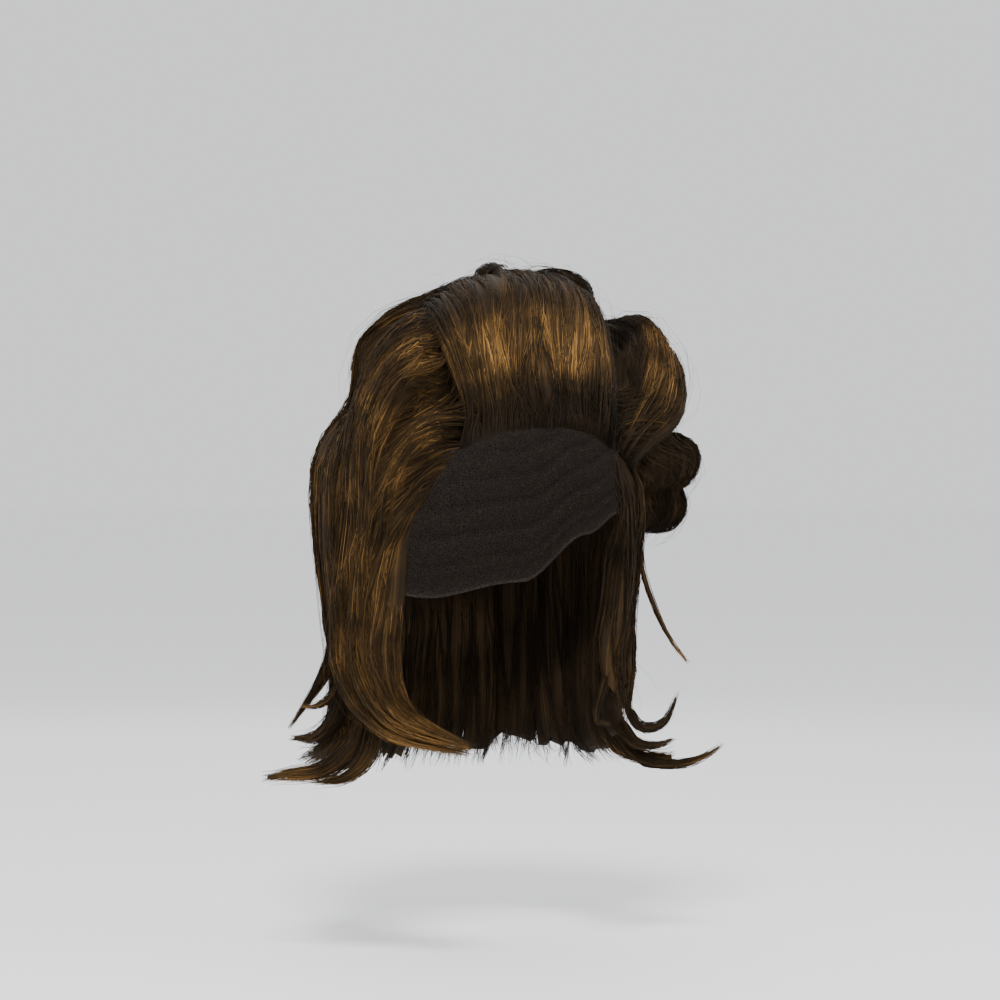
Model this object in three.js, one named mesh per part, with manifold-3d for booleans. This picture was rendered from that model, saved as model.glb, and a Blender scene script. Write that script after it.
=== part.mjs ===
// A mullet wig. A close cap with a hemmed edge carries the hair: the front is swept up and back over the
// crown, the sides are waved, and the back and both temple locks fall to the shoulders and flick outwards.
// Millimetres, +Z up. The wig faces -Y and the wearer's left is +X. The origin is the point inside the cap
// where the top of the head touches it.
import * as THREE from "three";
import Module from "manifold-3d";

const wasm = await Module();
wasm.setup();

// Driving dimensions
const HEAD_BREADTH = 156; // inside the cap, above the ears
const HEAD_LENGTH = 200; // inside the cap, forehead to back of head
const CROWN_HEIGHT = 92; // top of the head down to its widest level
const CAP_WALL = 1.4;
const HEM_WALL = 2.6; // the cap's turned edge
const HEM_WIDTH = 10;
const HAIR_VOLUME = 42; // how far full hair stands off the head
const FALL = 163; // widest level of the head down to the lowest tips
const CURTAIN_WALL = 10; // thickness of a sheet of hair that hangs free
const LOCK_CREST = 5; // how far a lock's middle stands above its edges
const FLICK_WIDTH = 16; // a broad free lock
const GAP = 0.3; // clearance between neighbouring pieces

// Places on the hair are given by azimuth, level and lift. Azimuth is in degrees round the head, 0 at the
// forehead and 90 at the wearer's left ear. Level is 1 at the top of the head, 0 at its widest, and -1 at
// the lowest tips. Lift is the share of HAIR_VOLUME by which the hair's surface stands off the head there.

// The cap's edge, half way round: the other half is its mirror image.
const CAP_EDGE = [
  { place: "forehead", azimuth: 0, level: 0.31 },
  { place: "brow", azimuth: 26, level: 0.28 },
  { place: "temple", azimuth: 40, level: 0.2 },
  { place: "sideburn_front", azimuth: 54, level: 0.04 },
  { place: "sideburn_tip", azimuth: 68, level: -0.12 },
  { place: "over_ear", azimuth: 84, level: -0.06 },
  { place: "behind_ear", azimuth: 105, level: -0.14 },
  { place: "neck_side", azimuth: 135, level: -0.32 },
  { place: "nape", azimuth: 180, level: -0.38 },
];

// The lines where the back hair's three sheets meet.
const BACK_SEAM_RIGHT = {
  azimuth: [-144, -147, -148, -148, -147, -148, -150],
  level: [0.42, 0.14, -0.14, -0.42, -0.68, -0.88, -0.98],
  lift: [0.4, 0.52, 0.44, 0.24, 0.1, 0.18, 0.5],
};
const BACK_SEAM_LEFT = {
  azimuth: [144, 147, 148, 148, 147, 148, 150],
  level: [0.42, 0.14, -0.14, -0.42, -0.68, -0.88, -0.98],
  lift: [0.42, 0.54, 0.46, 0.24, 0.1, 0.18, 0.5],
};

// Sheets of hair that lie on the cap or hang from it. Each row of guides is a line that the hair follows
// from root to end, and locks run side by side between the first guide and the last. seated is the share
// of the length that lies on the cap, and tip is the share of its width that a lock keeps at its end.
const SHEETS = [
  {
    name: "front_pompadour",
    locks: 7,
    seated: 1,
    tip: 0.95,
    guides: [
      {
        azimuth: [-40, -37, -38, -43, -51, -66, -92],
        level: [0.19, 0.25, 0.31, 0.4, 0.5, 0.62, 0.64],
        lift: [0, 0.35, 0.66, 0.84, 0.86, 0.7, 0.48],
      },
      {
        azimuth: [-31, -31, -32, -34, -38, -66, -112],
        level: [0.24, 0.28, 0.33, 0.42, 0.55, 0.76, 0.72],
        lift: [0, 0.42, 0.85, 1.02, 1.02, 0.78, 0.54],
      },
      {
        azimuth: [-19, -21, -23, -23, -22, -24, -150],
        level: [0.27, 0.3, 0.34, 0.43, 0.58, 0.84, 0.9],
        lift: [0, 0.48, 0.94, 1.14, 1.14, 0.9, 0.76],
      },
      {
        azimuth: [-5, -9, -12, -11, -6, 14, 165],
        level: [0.28, 0.31, 0.34, 0.43, 0.58, 0.85, 0.91],
        lift: [0, 0.5, 0.98, 1.18, 1.16, 0.9, 0.76],
      },
      {
        azimuth: [11, 4, 1, 3, 12, 50, 115],
        level: [0.27, 0.3, 0.34, 0.43, 0.58, 0.79, 0.86],
        lift: [0, 0.45, 0.88, 1.08, 1.1, 0.94, 0.82],
      },
      {
        azimuth: [25, 21, 19, 22, 34, 62, 98],
        level: [0.22, 0.28, 0.35, 0.45, 0.58, 0.68, 0.7],
        lift: [0, 0.3, 0.6, 0.8, 0.86, 0.84, 0.74],
      },
      {
        azimuth: [31, 32, 34, 38, 48, 70, 100],
        level: [0.19, 0.26, 0.34, 0.43, 0.53, 0.6, 0.58],
        lift: [0, 0.1, 0.22, 0.34, 0.46, 0.56, 0.56],
      },
    ],
  },
  {
    name: "side_wave_right",
    locks: 6,
    seated: 1,
    tip: 0.6,
    guides: [
      {
        azimuth: [-58, -73, -81, -84, -85, -89],
        level: [0.66, 0.6, 0.48, 0.32, 0.15, -0.05],
        lift: [0.74, 0.76, 0.68, 0.52, 0.42, 0.36],
      },
      {
        azimuth: [-47, -55, -64, -72, -77, -81],
        level: [0.52, 0.48, 0.4, 0.28, 0.13, -0.07],
        lift: [0.6, 0.78, 0.8, 0.64, 0.46, 0.36],
      },
      {
        azimuth: [-42, -49, -55, -63, -69, -75],
        level: [0.43, 0.4, 0.33, 0.22, 0.1, -0.08],
        lift: [0.44, 0.72, 0.84, 0.7, 0.5, 0.36],
      },
      {
        azimuth: [-38, -47, -57, -62, -65, -70],
        level: [0.36, 0.34, 0.29, 0.19, 0.08, -0.1],
        lift: [0.2, 0.26, 0.28, 0.38, 0.42, 0.34],
      },
      {
        azimuth: [-42, -46, -53, -59, -63, -66],
        level: [0.26, 0.23, 0.2, 0.12, 0.03, -0.12],
        lift: [0.05, 0.48, 0.48, 0.4, 0.38, 0.32],
      },
      {
        azimuth: [-48, -52, -56, -60, -62, -64],
        level: [0.17, 0.15, 0.1, 0.04, -0.04, -0.14],
        lift: [0.02, 0.16, 0.2, 0.2, 0.2, 0.2],
      },
    ],
  },
  {
    name: "side_curl_left_upper",
    locks: 4,
    seated: 1,
    tip: 0.7,
    guides: [
      {
        azimuth: [33, 40, 47, 55, 66, 88, 108],
        level: [0.22, 0.33, 0.39, 0.46, 0.5, 0.58, 0.54],
        lift: [0.02, 0.18, 0.4, 0.64, 0.82, 0.78, 0.62],
      },
      {
        azimuth: [37, 45, 53, 62, 72, 90, 111],
        level: [0.19, 0.28, 0.34, 0.41, 0.49, 0.53, 0.46],
        lift: [0.02, 0.28, 0.58, 0.9, 1.16, 0.98, 0.64],
      },
      {
        azimuth: [41, 49, 57, 66, 76, 95, 114],
        level: [0.15, 0.23, 0.28, 0.35, 0.44, 0.46, 0.38],
        lift: [0.02, 0.34, 0.7, 1.02, 1.26, 1, 0.62],
      },
      {
        azimuth: [45, 53, 61, 70, 81, 98, 116],
        level: [0.1, 0.17, 0.2, 0.26, 0.32, 0.32, 0.28],
        lift: [0.02, 0.34, 0.72, 1.02, 1.2, 0.9, 0.54],
      },
    ],
  },
  {
    name: "side_curl_left_middle",
    locks: 4,
    seated: 1,
    tip: 0.6,
    guides: [
      {
        azimuth: [54, 54, 54, 54, 54, 54],
        level: [0.18, 0.17, 0.13, 0.09, 0.04, 0.03],
        lift: [0.08, 0.2, 0.26, 0.26, 0.2, 0.08],
      },
      {
        azimuth: [63, 63, 63, 63, 63, 63],
        level: [0.18, 0.17, 0.13, 0.09, 0.04, 0.03],
        lift: [0.2, 0.45, 0.6, 0.6, 0.45, 0.2],
      },
      {
        azimuth: [73, 73, 73, 73, 73, 73],
        level: [0.18, 0.17, 0.13, 0.09, 0.04, 0.03],
        lift: [0.38, 0.74, 0.96, 0.97, 0.76, 0.38],
      },
      {
        azimuth: [84, 84, 84, 84, 84, 84],
        level: [0.18, 0.17, 0.13, 0.09, 0.04, 0.03],
        lift: [0.44, 0.82, 1.08, 1.12, 0.9, 0.44],
      },
      {
        azimuth: [98, 98, 98, 98, 98, 98],
        level: [0.18, 0.17, 0.13, 0.09, 0.04, 0.03],
        lift: [0.38, 0.72, 0.92, 0.92, 0.72, 0.38],
      },
      {
        azimuth: [110, 110, 110, 110, 110, 110],
        level: [0.18, 0.17, 0.13, 0.09, 0.04, 0.03],
        lift: [0.24, 0.42, 0.52, 0.52, 0.42, 0.24],
      },
    ],
  },
  {
    name: "side_curl_left_lower",
    locks: 3,
    seated: 1,
    tip: 0.6,
    guides: [
      {
        azimuth: [60, 60, 60, 60, 60, 60],
        level: [0.06, 0.05, 0.01, -0.05, -0.1, -0.11],
        lift: [0.04, 0.1, 0.14, 0.14, 0.1, 0.04],
      },
      {
        azimuth: [68, 68, 68, 68, 68, 68],
        level: [0.06, 0.05, 0.01, -0.05, -0.1, -0.11],
        lift: [0.16, 0.3, 0.4, 0.4, 0.3, 0.16],
      },
      {
        azimuth: [78, 78, 78, 78, 78, 78],
        level: [0.06, 0.05, 0.01, -0.05, -0.1, -0.11],
        lift: [0.32, 0.6, 0.8, 0.82, 0.64, 0.34],
      },
      {
        azimuth: [90, 90, 90, 90, 90, 90],
        level: [0.06, 0.05, 0.01, -0.05, -0.1, -0.11],
        lift: [0.3, 0.56, 0.74, 0.76, 0.6, 0.32],
      },
      {
        azimuth: [102, 102, 102, 102, 102, 102],
        level: [0.06, 0.05, 0.01, -0.05, -0.1, -0.11],
        lift: [0.2, 0.34, 0.44, 0.44, 0.34, 0.2],
      },
    ],
  },
  {
    name: "crown_hair",
    locks: 5,
    seated: 1,
    tip: 0.45,
    guides: [
      {
        azimuth: [-80, -92, -100, -106, -110],
        level: [0.86, 0.74, 0.62, 0.5, 0.36],
        lift: [0.64, 0.65, 0.7, 0.66, 0.1],
      },
      {
        azimuth: [-130, -136, -140, -142, -144],
        level: [0.93, 0.78, 0.62, 0.46, 0.26],
        lift: [0.74, 0.74, 0.76, 0.6, 0.24],
      },
      {
        azimuth: [180, 180, 180, 180, 180],
        level: [0.93, 0.78, 0.6, 0.42, 0.2],
        lift: [0.76, 0.76, 0.7, 0.6, 0.5],
      },
      {
        azimuth: [120, 132, 138, 142, 144],
        level: [0.93, 0.78, 0.62, 0.46, 0.26],
        lift: [0.76, 0.78, 0.74, 0.64, 0.52],
      },
      {
        azimuth: [78, 90, 102, 110, 116],
        level: [0.84, 0.74, 0.64, 0.52, 0.38],
        lift: [0.84, 0.82, 0.78, 0.68, 0.54],
      },
    ],
  },
  {
    name: "temple_lock_right",
    locks: 3,
    seated: 0.2,
    tip: 0.2,
    guides: [
      {
        azimuth: [-46, -55, -64, -66, -70, -68, -38],
        level: [0.13, -0.01, -0.17, -0.35, -0.53, -0.73, -0.86],
        lift: [0.04, 0.08, 0.12, 0.14, 0.12, -0.05, -0.4],
      },
      {
        azimuth: [-52, -70, -84, -91, -89, -70, -38],
        level: [0.1, -0.07, -0.26, -0.47, -0.67, -0.83, -0.89],
        lift: [0.14, 0.32, 0.44, 0.46, 0.4, 0.18, -0.34],
      },
    ],
  },
  {
    name: "temple_lock_left",
    locks: 2,
    seated: 0.2,
    tip: 0.25,
    guides: [
      {
        azimuth: [32, 36, 46, 50, 54, 62],
        level: [0.16, -0.01, -0.2, -0.39, -0.58, -0.8],
        lift: [0.02, 0.04, -0.06, -0.16, -0.3, -0.2],
      },
      {
        azimuth: [48, 60, 74, 80, 82, 82],
        level: [0.11, -0.09, -0.25, -0.45, -0.63, -0.82],
        lift: [0.16, 0.12, 0.14, 0.12, 0.18, 0.08],
      },
    ],
  },
  {
    name: "back_hair_right",
    locks: 4,
    seated: 0.33,
    tip: 0.2,
    guides: [
      {
        azimuth: [-80, -84, -88, -90, -88, -88, -92],
        level: [0.56, 0.14, -0.15, -0.42, -0.68, -0.86, -0.95],
        lift: [0.28, 0.46, 0.44, 0.28, 0.12, 0.2, 0.6],
      },
      {
        azimuth: [-112, -116, -118, -118, -116, -118, -122],
        level: [0.42, 0.15, -0.14, -0.42, -0.68, -0.88, -0.97],
        lift: [0.16, 0.46, 0.42, 0.26, 0.14, 0.3, 0.7],
      },
      BACK_SEAM_RIGHT,
    ],
  },
  {
    name: "back_hair_left",
    locks: 4,
    seated: 0.33,
    tip: 0.2,
    guides: [
      BACK_SEAM_LEFT,
      {
        azimuth: [112, 116, 118, 118, 116, 116, 118],
        level: [0.4, 0.14, -0.14, -0.42, -0.68, -0.88, -0.97],
        lift: [0.5, 0.55, 0.44, 0.26, 0.14, 0.3, 0.7],
      },
      {
        azimuth: [84, 86, 88, 88, 86, 86, 86],
        level: [0.3, 0.08, -0.16, -0.42, -0.68, -0.84, -0.92],
        lift: [0.5, 0.5, 0.4, 0.2, 0.06, 0.14, 0.5],
      },
    ],
  },
  {
    name: "back_hair_centre",
    locks: 5,
    seated: 0.45,
    tip: 0.5,
    guides: [
      BACK_SEAM_RIGHT,
      {
        azimuth: [180, 180, 180, 180, 180, 180, 180],
        level: [0.4, 0.12, -0.15, -0.42, -0.68, -0.88, -1],
        lift: [0.44, 0.54, 0.44, 0.22, 0.08, 0.14, 0.4],
      },
      BACK_SEAM_LEFT,
    ],
  },
];

// Free locks. width and depth are shares of FLICK_WIDTH, and tip is the share of them left at the end.
const LOCKS = [
  {
    name: "crown_tuft",
    width: 0.95,
    depth: 0.65,
    tip: 0.3,
    path: {
      azimuth: [-40, -20, 60, 120],
      level: [0.84, 0.93, 0.96, 0.9],
      lift: [0.84, 0.92, 0.9, 0.8],
    },
  },
  {
    name: "crown_lump",
    width: 1.5,
    depth: 1.1,
    tip: 0.5,
    path: {
      azimuth: [58, 64, 78, 105],
      level: [0.66, 0.74, 0.8, 0.8],
      lift: [0.9, 0.96, 0.94, 0.8],
    },
  },
  {
    name: "flick_right_outer",
    width: 0.95,
    depth: 0.5,
    tip: 0.12,
    path: {
      azimuth: [-103, -104, -106, -108],
      level: [-0.42, -0.57, -0.7, -0.83],
      lift: [0.2, 0.28, 0.52, 0.85],
    },
  },
  {
    name: "flick_right_wisp",
    width: 0.4,
    depth: 0.25,
    tip: 0.3,
    path: {
      azimuth: [-94, -96, -99, -102],
      level: [-0.62, -0.7, -0.74, -0.74],
      lift: [0.2, 0.36, 0.55, 0.74],
    },
  },
  {
    name: "flick_right_lower",
    width: 1.1,
    depth: 0.6,
    tip: 0.12,
    path: {
      azimuth: [-94, -97, -102, -107],
      level: [-0.62, -0.77, -0.85, -0.86],
      lift: [0.14, 0.26, 0.5, 0.84],
    },
  },
  {
    name: "flick_right_sweep",
    width: 0.9,
    depth: 0.55,
    tip: 0.2,
    path: {
      azimuth: [-84, -87, -94, -100, -104],
      level: [-0.7, -0.87, -0.96, -0.98, -1],
      lift: [0.1, 0.2, 0.5, 0.9, 1.25],
    },
  },
  {
    name: "flick_right_under",
    width: 0.9,
    depth: 0.5,
    tip: 0.12,
    path: {
      azimuth: [-78, -80, -86, -92],
      level: [-0.76, -0.9, -0.98, -1],
      lift: [0.06, 0.14, 0.36, 0.72],
    },
  },
  {
    name: "flick_left_high",
    width: 0.55,
    depth: 0.4,
    tip: 0.15,
    path: {
      azimuth: [80, 81, 84, 85],
      level: [-0.74, -0.83, -0.82, -0.71],
      lift: [0.08, 0.3, 0.72, 0.96],
    },
  },
  {
    name: "flick_left_inner",
    width: 0.5,
    depth: 0.35,
    tip: 0.2,
    path: {
      azimuth: [61, 58, 57, 62],
      level: [-0.54, -0.68, -0.79, -0.81],
      lift: [-0.2, -0.38, -0.46, -0.25],
    },
  },
  {
    name: "flick_left_middle",
    width: 0.65,
    depth: 0.45,
    tip: 0.15,
    path: {
      azimuth: [88, 88, 90, 92],
      level: [-0.78, -0.89, -0.91, -0.89],
      lift: [0.06, 0.34, 0.76, 1.12],
    },
  },
  {
    name: "flick_left_blunt",
    width: 0.9,
    depth: 0.5,
    tip: 0.5,
    path: {
      azimuth: [98, 96, 94, 92],
      level: [-0.78, -0.92, -0.96, -0.96],
      lift: [0.1, 0.34, 0.8, 1.14],
    },
  },
  {
    name: "flick_left_long",
    width: 0.55,
    depth: 0.4,
    tip: 0.15,
    path: {
      azimuth: [94, 91, 88, 85, 82],
      level: [-0.84, -0.96, -0.98, -0.95, -0.9],
      lift: [0.1, 0.52, 1.06, 1.36, 1.56],
    },
  },
  {
    name: "stray_lock_left",
    width: 0.35,
    depth: 0.2,
    tip: 0.4,
    path: {
      azimuth: [73, 75, 77, 79, 80],
      level: [-0.08, -0.26, -0.42, -0.54, -0.61],
      lift: [0.2, 0.26, 0.5, 0.78, 1.02],
    },
  },
];

const SHEET_STEPS = 6; // sections along a lock of a sheet
const LOCK_STEPS = 5; // sections along a free lock
const LOCK_SIDES = 5;
const LOCK_PLACES = [-1, -0.4, 0.4, 1]; // places across a lock of a sheet, from edge to edge
const OVERLAP = 1.14; // a lock's width as a share of its spacing, so that neighbours fuse
const HEAD_TUCK = 0.9; // how strongly the head draws in below its widest level
const UNEVEN_HEIGHT = 0.2; // share of LOCK_CREST by which neighbouring locks stand higher or lower
const UNEVEN_LENGTH = 0.07; // share of their length by which hanging locks end sooner
const TAPER_START = 0.72; // share of a sheet's lock's length at which it starts to narrow
const FREE_TAPER_START = 0.25; // the same for a free lock
const ROOT_SHARE = 0.5; // share of its size that a free lock has at its root
const ROOT_END = 0.22; // share of its length at which it has grown to its full size
const LIFT_OFF = 0.2; // share of a lock's length over which its inside leaves the cap
const NEARBY = 0.02; // step along a lock that gives its direction

const HAIR_COLOUR = 0x3a2a1c;
const CAP_COLOUR = 0x1d1713;

const radians = THREE.MathUtils.degToRad;
const mix = THREE.MathUtils.lerp;
const smoothstep = THREE.MathUtils.smoothstep;

// The direction that points away from the head at a place: from the head's centre above the widest level,
// and straight out from the upright axis below it.
function outwardAt(point) {
  const outward = new THREE.Vector3(point.x, point.y, Math.max(point.z + CROWN_HEIGHT, 0));
  return outward.normalize();
}

// The point on a head at an azimuth and level, drawn in below the widest level by a share of its size.
function onHead(azimuth, level, tuck) {
  const turn = radians(azimuth);
  const rise = radians(90 * Math.max(level, 0));
  const below = Math.min(level, 0);
  const size = Math.cos(rise) * (1 - tuck * below * below);
  return new THREE.Vector3(
    (Math.sin(turn) * size * HEAD_BREADTH) / 2,
    (-Math.cos(turn) * size * HEAD_LENGTH) / 2,
    Math.sin(rise) * CROWN_HEIGHT + below * FALL - CROWN_HEIGHT,
  );
}

function hairPoint(azimuth, level, lift) {
  const point = onHead(azimuth, level, 0);
  return point.addScaledVector(outwardAt(point), lift * HAIR_VOLUME);
}

function skinPoint(azimuth, level) {
  return onHead(azimuth, level, HEAD_TUCK);
}

// A smooth line through a row of places, each turned into a point by toPoint.
function lineThrough(row, toPoint) {
  const points = row.azimuth.map((azimuth, i) => toPoint(azimuth, row.level[i], row.lift[i]));
  return new THREE.CatmullRomCurve3(points);
}

// A closed solid from corners and triangles, turned so that its faces point out.
function solid(corners, triangles) {
  const made = new wasm.Manifold(
    new wasm.Mesh({
      numProp: 3,
      vertProperties: new Float32Array(corners.flatMap((p) => [p.x, p.y, p.z])),
      triVerts: new Uint32Array(triangles),
    }),
  );
  return made.volume() > 0 ? made : solid(corners, triangles.toReversed());
}

// A closed solid from rings of points that all have the same count, with a fan over each end.
function loft(rings) {
  const count = rings[0].length;
  const triangles = [];
  for (let row = 0; row < rings.length - 1; row++) {
    for (let i = 0; i < count; i++) {
      const next = (i + 1) % count;
      const [a, b, c, d] = [i, next, next + count, i + count].map((k) => k + row * count);
      triangles.push(a, b, c, a, c, d);
    }
  }
  const last = (rings.length - 1) * count;
  for (let i = 1; i < count - 1; i++) {
    triangles.push(0, i + 1, i, last, last + i, last + i + 1);
  }
  return solid(rings.flat(), triangles);
}

// The cap's edge level at an azimuth, smooth between the table's rows.
function edgeLevel(azimuth) {
  const around = Math.abs(azimuth > 180 ? azimuth - 360 : azimuth);
  const after = Math.max(CAP_EDGE.findIndex((row) => row.azimuth >= around), 1);
  const [from, to] = [CAP_EDGE[after - 1], CAP_EDGE[after]];
  return mix(from.level, to.level, smoothstep(around, from.azimuth, to.azimuth));
}

const CAP_COLUMNS = 30;
const CAP_ROWS = 6;
const CAP_TOP = 0.04; // share of the way down at which the cap's first ring lies
const HEM_TOP = 1.2; // hem widths above the edge where the hem has its full wall
const NET_END = 1.5; // hem widths above the edge where the plain net ends

// Rings of the cap from its top to its edge, at a height off the head, with the hem's rings last.
function capRings(wall, hemWall) {
  const hem = HEM_WIDTH / (CROWN_HEIGHT + 0.5 * HEAD_LENGTH);
  const lowest = 1 - NET_END * hem;
  const shares = Array.from({ length: CAP_ROWS }, (_, i) => mix(CAP_TOP, lowest, i / (CAP_ROWS - 1)));
  const rows = [...shares.map((share) => [share, wall]), [1 - HEM_TOP * hem, hemWall], [1, hemWall]];
  return rows.map(([share, height]) =>
    Array.from({ length: CAP_COLUMNS }, (_, column) => {
      const azimuth = (360 * column) / CAP_COLUMNS;
      const level = mix(1, edgeLevel(azimuth), share);
      const point = onHead(azimuth, level, HEAD_TUCK);
      return point.addScaledVector(outwardAt(point), height);
    }),
  );
}

function cap() {
  return loft([...capRings(0, 0), ...capRings(CAP_WALL, HEM_WALL).toReversed()]);
}

// The cap with the clearance that hair keeps to it, filled a little way into its hollow.
function capClearance() {
  const inside = -HAIR_VOLUME / 2;
  const innerEdge = capRings(0, 0).at(-1);
  const outer = capRings(CAP_WALL + GAP, HEM_WALL + GAP);
  [...innerEdge, ...outer.at(-1)].forEach((point) => point.setZ(point.z - GAP));
  return loft([...capRings(inside, inside), innerEdge, ...outer.toReversed()]);
}

const LOCK_TURN = 2.4; // radians from one lock to the next, and from one seed to the next, so that
const SEED_TURN = 1.7; // the unevenness of neighbours doesn't repeat

// A small fixed unevenness between neighbouring locks, from -1 to 1.
function unevenness(index, seed) {
  return Math.sin(index * LOCK_TURN + seed * SEED_TURN);
}

// The surface of a sheet of hair: a point from a share across its guides and a share along them.
function surface(guides, toPoint) {
  const lines = guides.map((row) => lineThrough(row, toPoint));
  return (across, along) =>
    new THREE.CatmullRomCurve3(lines.map((line) => line.getPoint(along))).getPoint(across);
}

// One lock of a sheet as a closed solid. grow is the clearance added all round it.
function sheetLock(sheet, hair, skin, index, grow) {
  const length = 1 - UNEVEN_LENGTH * (1 - sheet.seated) * (1 + unevenness(index, sheet.locks));
  const middle = (index + 0.5) / sheet.locks;
  const rings = [];
  for (let step = 0; step <= SHEET_STEPS; step++) {
    const along = (length * step) / SHEET_STEPS;
    const taper = mix(1, sheet.tip, smoothstep(step / SHEET_STEPS, TAPER_START, 1));
    const free = smoothstep(along, sheet.seated, sheet.seated + LIFT_OFF);
    const half = (0.5 / sheet.locks) * OVERLAP * taper;
    const outer = LOCK_PLACES.map((side) => {
      const across = THREE.MathUtils.clamp(middle + side * half, 0, 1);
      const point = hair(across, along);
      const crest = LOCK_CREST * (taper * (1 - side * side) + UNEVEN_HEIGHT * unevenness(index, 0));
      return point.addScaledVector(outwardAt(point), crest + grow);
    });
    const inner = [1, -1].map((side) => {
      const across = THREE.MathUtils.clamp(middle + side * half, 0, 1);
      const point = hair(across, along);
      const ahead = hair(across, Math.min(along + NEARBY, 1));
      const flow = ahead.sub(hair(across, Math.max(along - NEARBY, 0))).normalize();
      const normal = outwardAt(point);
      normal.addScaledVector(flow, -normal.dot(flow)).normalize();
      const hung = point.addScaledVector(normal, -CURTAIN_WALL * taper);
      const inside = skin(across, along).lerp(hung, free);
      return inside.addScaledVector(outwardAt(inside), -grow);
    });
    rings.push([...outer, ...inner]);
  }
  return loft(swollen(rings, grow));
}

function middleOf(ring) {
  return ring.reduce((sum, point) => sum.add(point), new THREE.Vector3()).divideScalar(ring.length);
}

// Rings moved away from their middles and, at both ends, lengthways, to clear the rings as they were.
function swollen(rings, distance) {
  const middles = rings.map(middleOf);
  const last = rings.length - 1;
  return rings.map((ring, row) => {
    const beyond = new THREE.Vector3();
    if (row === 0) beyond.subVectors(middles[0], middles[1]).setLength(distance);
    if (row === last) beyond.subVectors(middles[last], middles[last - 1]).setLength(distance);
    return ring.map((point) => {
      const away = point.clone().sub(middles[row]).setLength(distance);
      return away.add(point).add(beyond);
    });
  });
}

function sheetSolid(sheet, grow) {
  const hair = surface(sheet.guides, hairPoint);
  const skin = surface(sheet.guides, skinPoint);
  const locks = Array.from({ length: sheet.locks }, (_, i) => sheetLock(sheet, hair, skin, i, grow));
  return locks.reduce((a, b) => a.add(b));
}

// A free lock as a tapered tube whose flat side faces the head where it starts.
function lockSolid(lock, grow) {
  const curve = lineThrough(lock.path, hairPoint);
  const normal = outwardAt(curve.getPoint(0));
  const rings = [];
  for (let step = 0; step <= LOCK_STEPS; step++) {
    const along = step / LOCK_STEPS;
    const point = curve.getPoint(along);
    const flow = curve.getTangent(along);
    normal.addScaledVector(flow, -normal.dot(flow)).normalize();
    const side = new THREE.Vector3().crossVectors(flow, normal);
    const tapered = mix(1, lock.tip, smoothstep(along, FREE_TAPER_START, 1));
    const risen = mix(ROOT_SHARE, 1, smoothstep(along, 0, ROOT_END));
    const size = tapered * risen * FLICK_WIDTH * 0.5;
    rings.push(
      Array.from({ length: LOCK_SIDES }, (_, k) => {
        const turn = (2 * Math.PI * k) / LOCK_SIDES;
        return point
          .clone()
          .addScaledVector(side, Math.cos(turn) * lock.width * size)
          .addScaledVector(normal, Math.sin(turn) * lock.depth * size);
      }),
    );
  }
  return loft(swollen(rings, grow));
}

// The largest body of a solid: what a cut leaves beside it is dropped.
function largest(form) {
  return form.decompose().reduce((a, b) => (b.volume() > a.volume() ? b : a));
}

function mesh(name, form, material) {
  const { vertProperties, triVerts } = form.getMesh();
  const geometry = new THREE.BufferGeometry();
  geometry.setAttribute("position", new THREE.BufferAttribute(vertProperties, 3));
  geometry.setIndex(new THREE.BufferAttribute(triVerts, 1));
  geometry.computeVertexNormals();
  const made = new THREE.Mesh(geometry, material);
  made.name = name;
  return made;
}

function hairMaterial() {
  return new THREE.MeshStandardMaterial({ color: HAIR_COLOUR, roughness: 0.45, metalness: 0 });
}

function capMaterial() {
  return new THREE.MeshStandardMaterial({ color: CAP_COLOUR, roughness: 0.9, metalness: 0 });
}

const wig = new THREE.Group();
wig.add(mesh("cap", cap(), capMaterial()));

// Each piece of hair is cut back from the cap and from the pieces before it.
let taken = capClearance();
const pieces = [
  ...SHEETS.map((sheet) => [sheet.name, (grow) => sheetSolid(sheet, grow)]),
  ...LOCKS.map((lock) => [lock.name, (grow) => lockSolid(lock, grow)]),
];
for (const [name, form] of pieces) {
  const whole = form(0);
  wig.add(mesh(name, largest(whole.subtract(taken)), hairMaterial()));
  taken = taken.add(whole).add(form(GAP));
}

export default wig;
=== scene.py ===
import math

import bpy
import numpy as np
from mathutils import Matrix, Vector
from mathutils.bvhtree import BVHTree


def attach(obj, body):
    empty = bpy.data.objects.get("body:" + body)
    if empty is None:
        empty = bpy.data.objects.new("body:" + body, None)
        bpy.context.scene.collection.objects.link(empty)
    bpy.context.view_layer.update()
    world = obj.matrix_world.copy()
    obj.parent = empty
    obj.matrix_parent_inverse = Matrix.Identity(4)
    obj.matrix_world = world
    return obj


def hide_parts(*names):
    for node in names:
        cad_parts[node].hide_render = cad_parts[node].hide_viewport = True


# A mullet wig: a hemmed net cap, dark bodies of hair that follow its form, and fine strands over them.
# Metres, +Z up. The wig faces -Y and the wearer's left is +X.
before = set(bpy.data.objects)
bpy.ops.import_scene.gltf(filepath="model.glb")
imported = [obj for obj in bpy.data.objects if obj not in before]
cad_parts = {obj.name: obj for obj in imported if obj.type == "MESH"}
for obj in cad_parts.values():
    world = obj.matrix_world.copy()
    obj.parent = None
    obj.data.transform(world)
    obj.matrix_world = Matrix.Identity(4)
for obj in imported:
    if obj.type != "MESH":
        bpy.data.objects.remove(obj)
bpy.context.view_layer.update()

# The sizes of the model that the hair follows
HEAD_BREADTH = 0.156
HEAD_LENGTH = 0.200
CROWN_HEIGHT = 0.092
HAIR_VOLUME = 0.042
FALL = 0.163
CURTAIN_WALL = 0.010
LOCK_CREST = 0.005
FLICK_WIDTH = 0.016
CAP_WALL = 0.0014
HEM_WALL = 0.0026
HEM_WIDTH = 0.010
HEAD_TUCK = 0.9
OVERLAP = 1.14
UNEVEN_HEIGHT = 0.2
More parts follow.
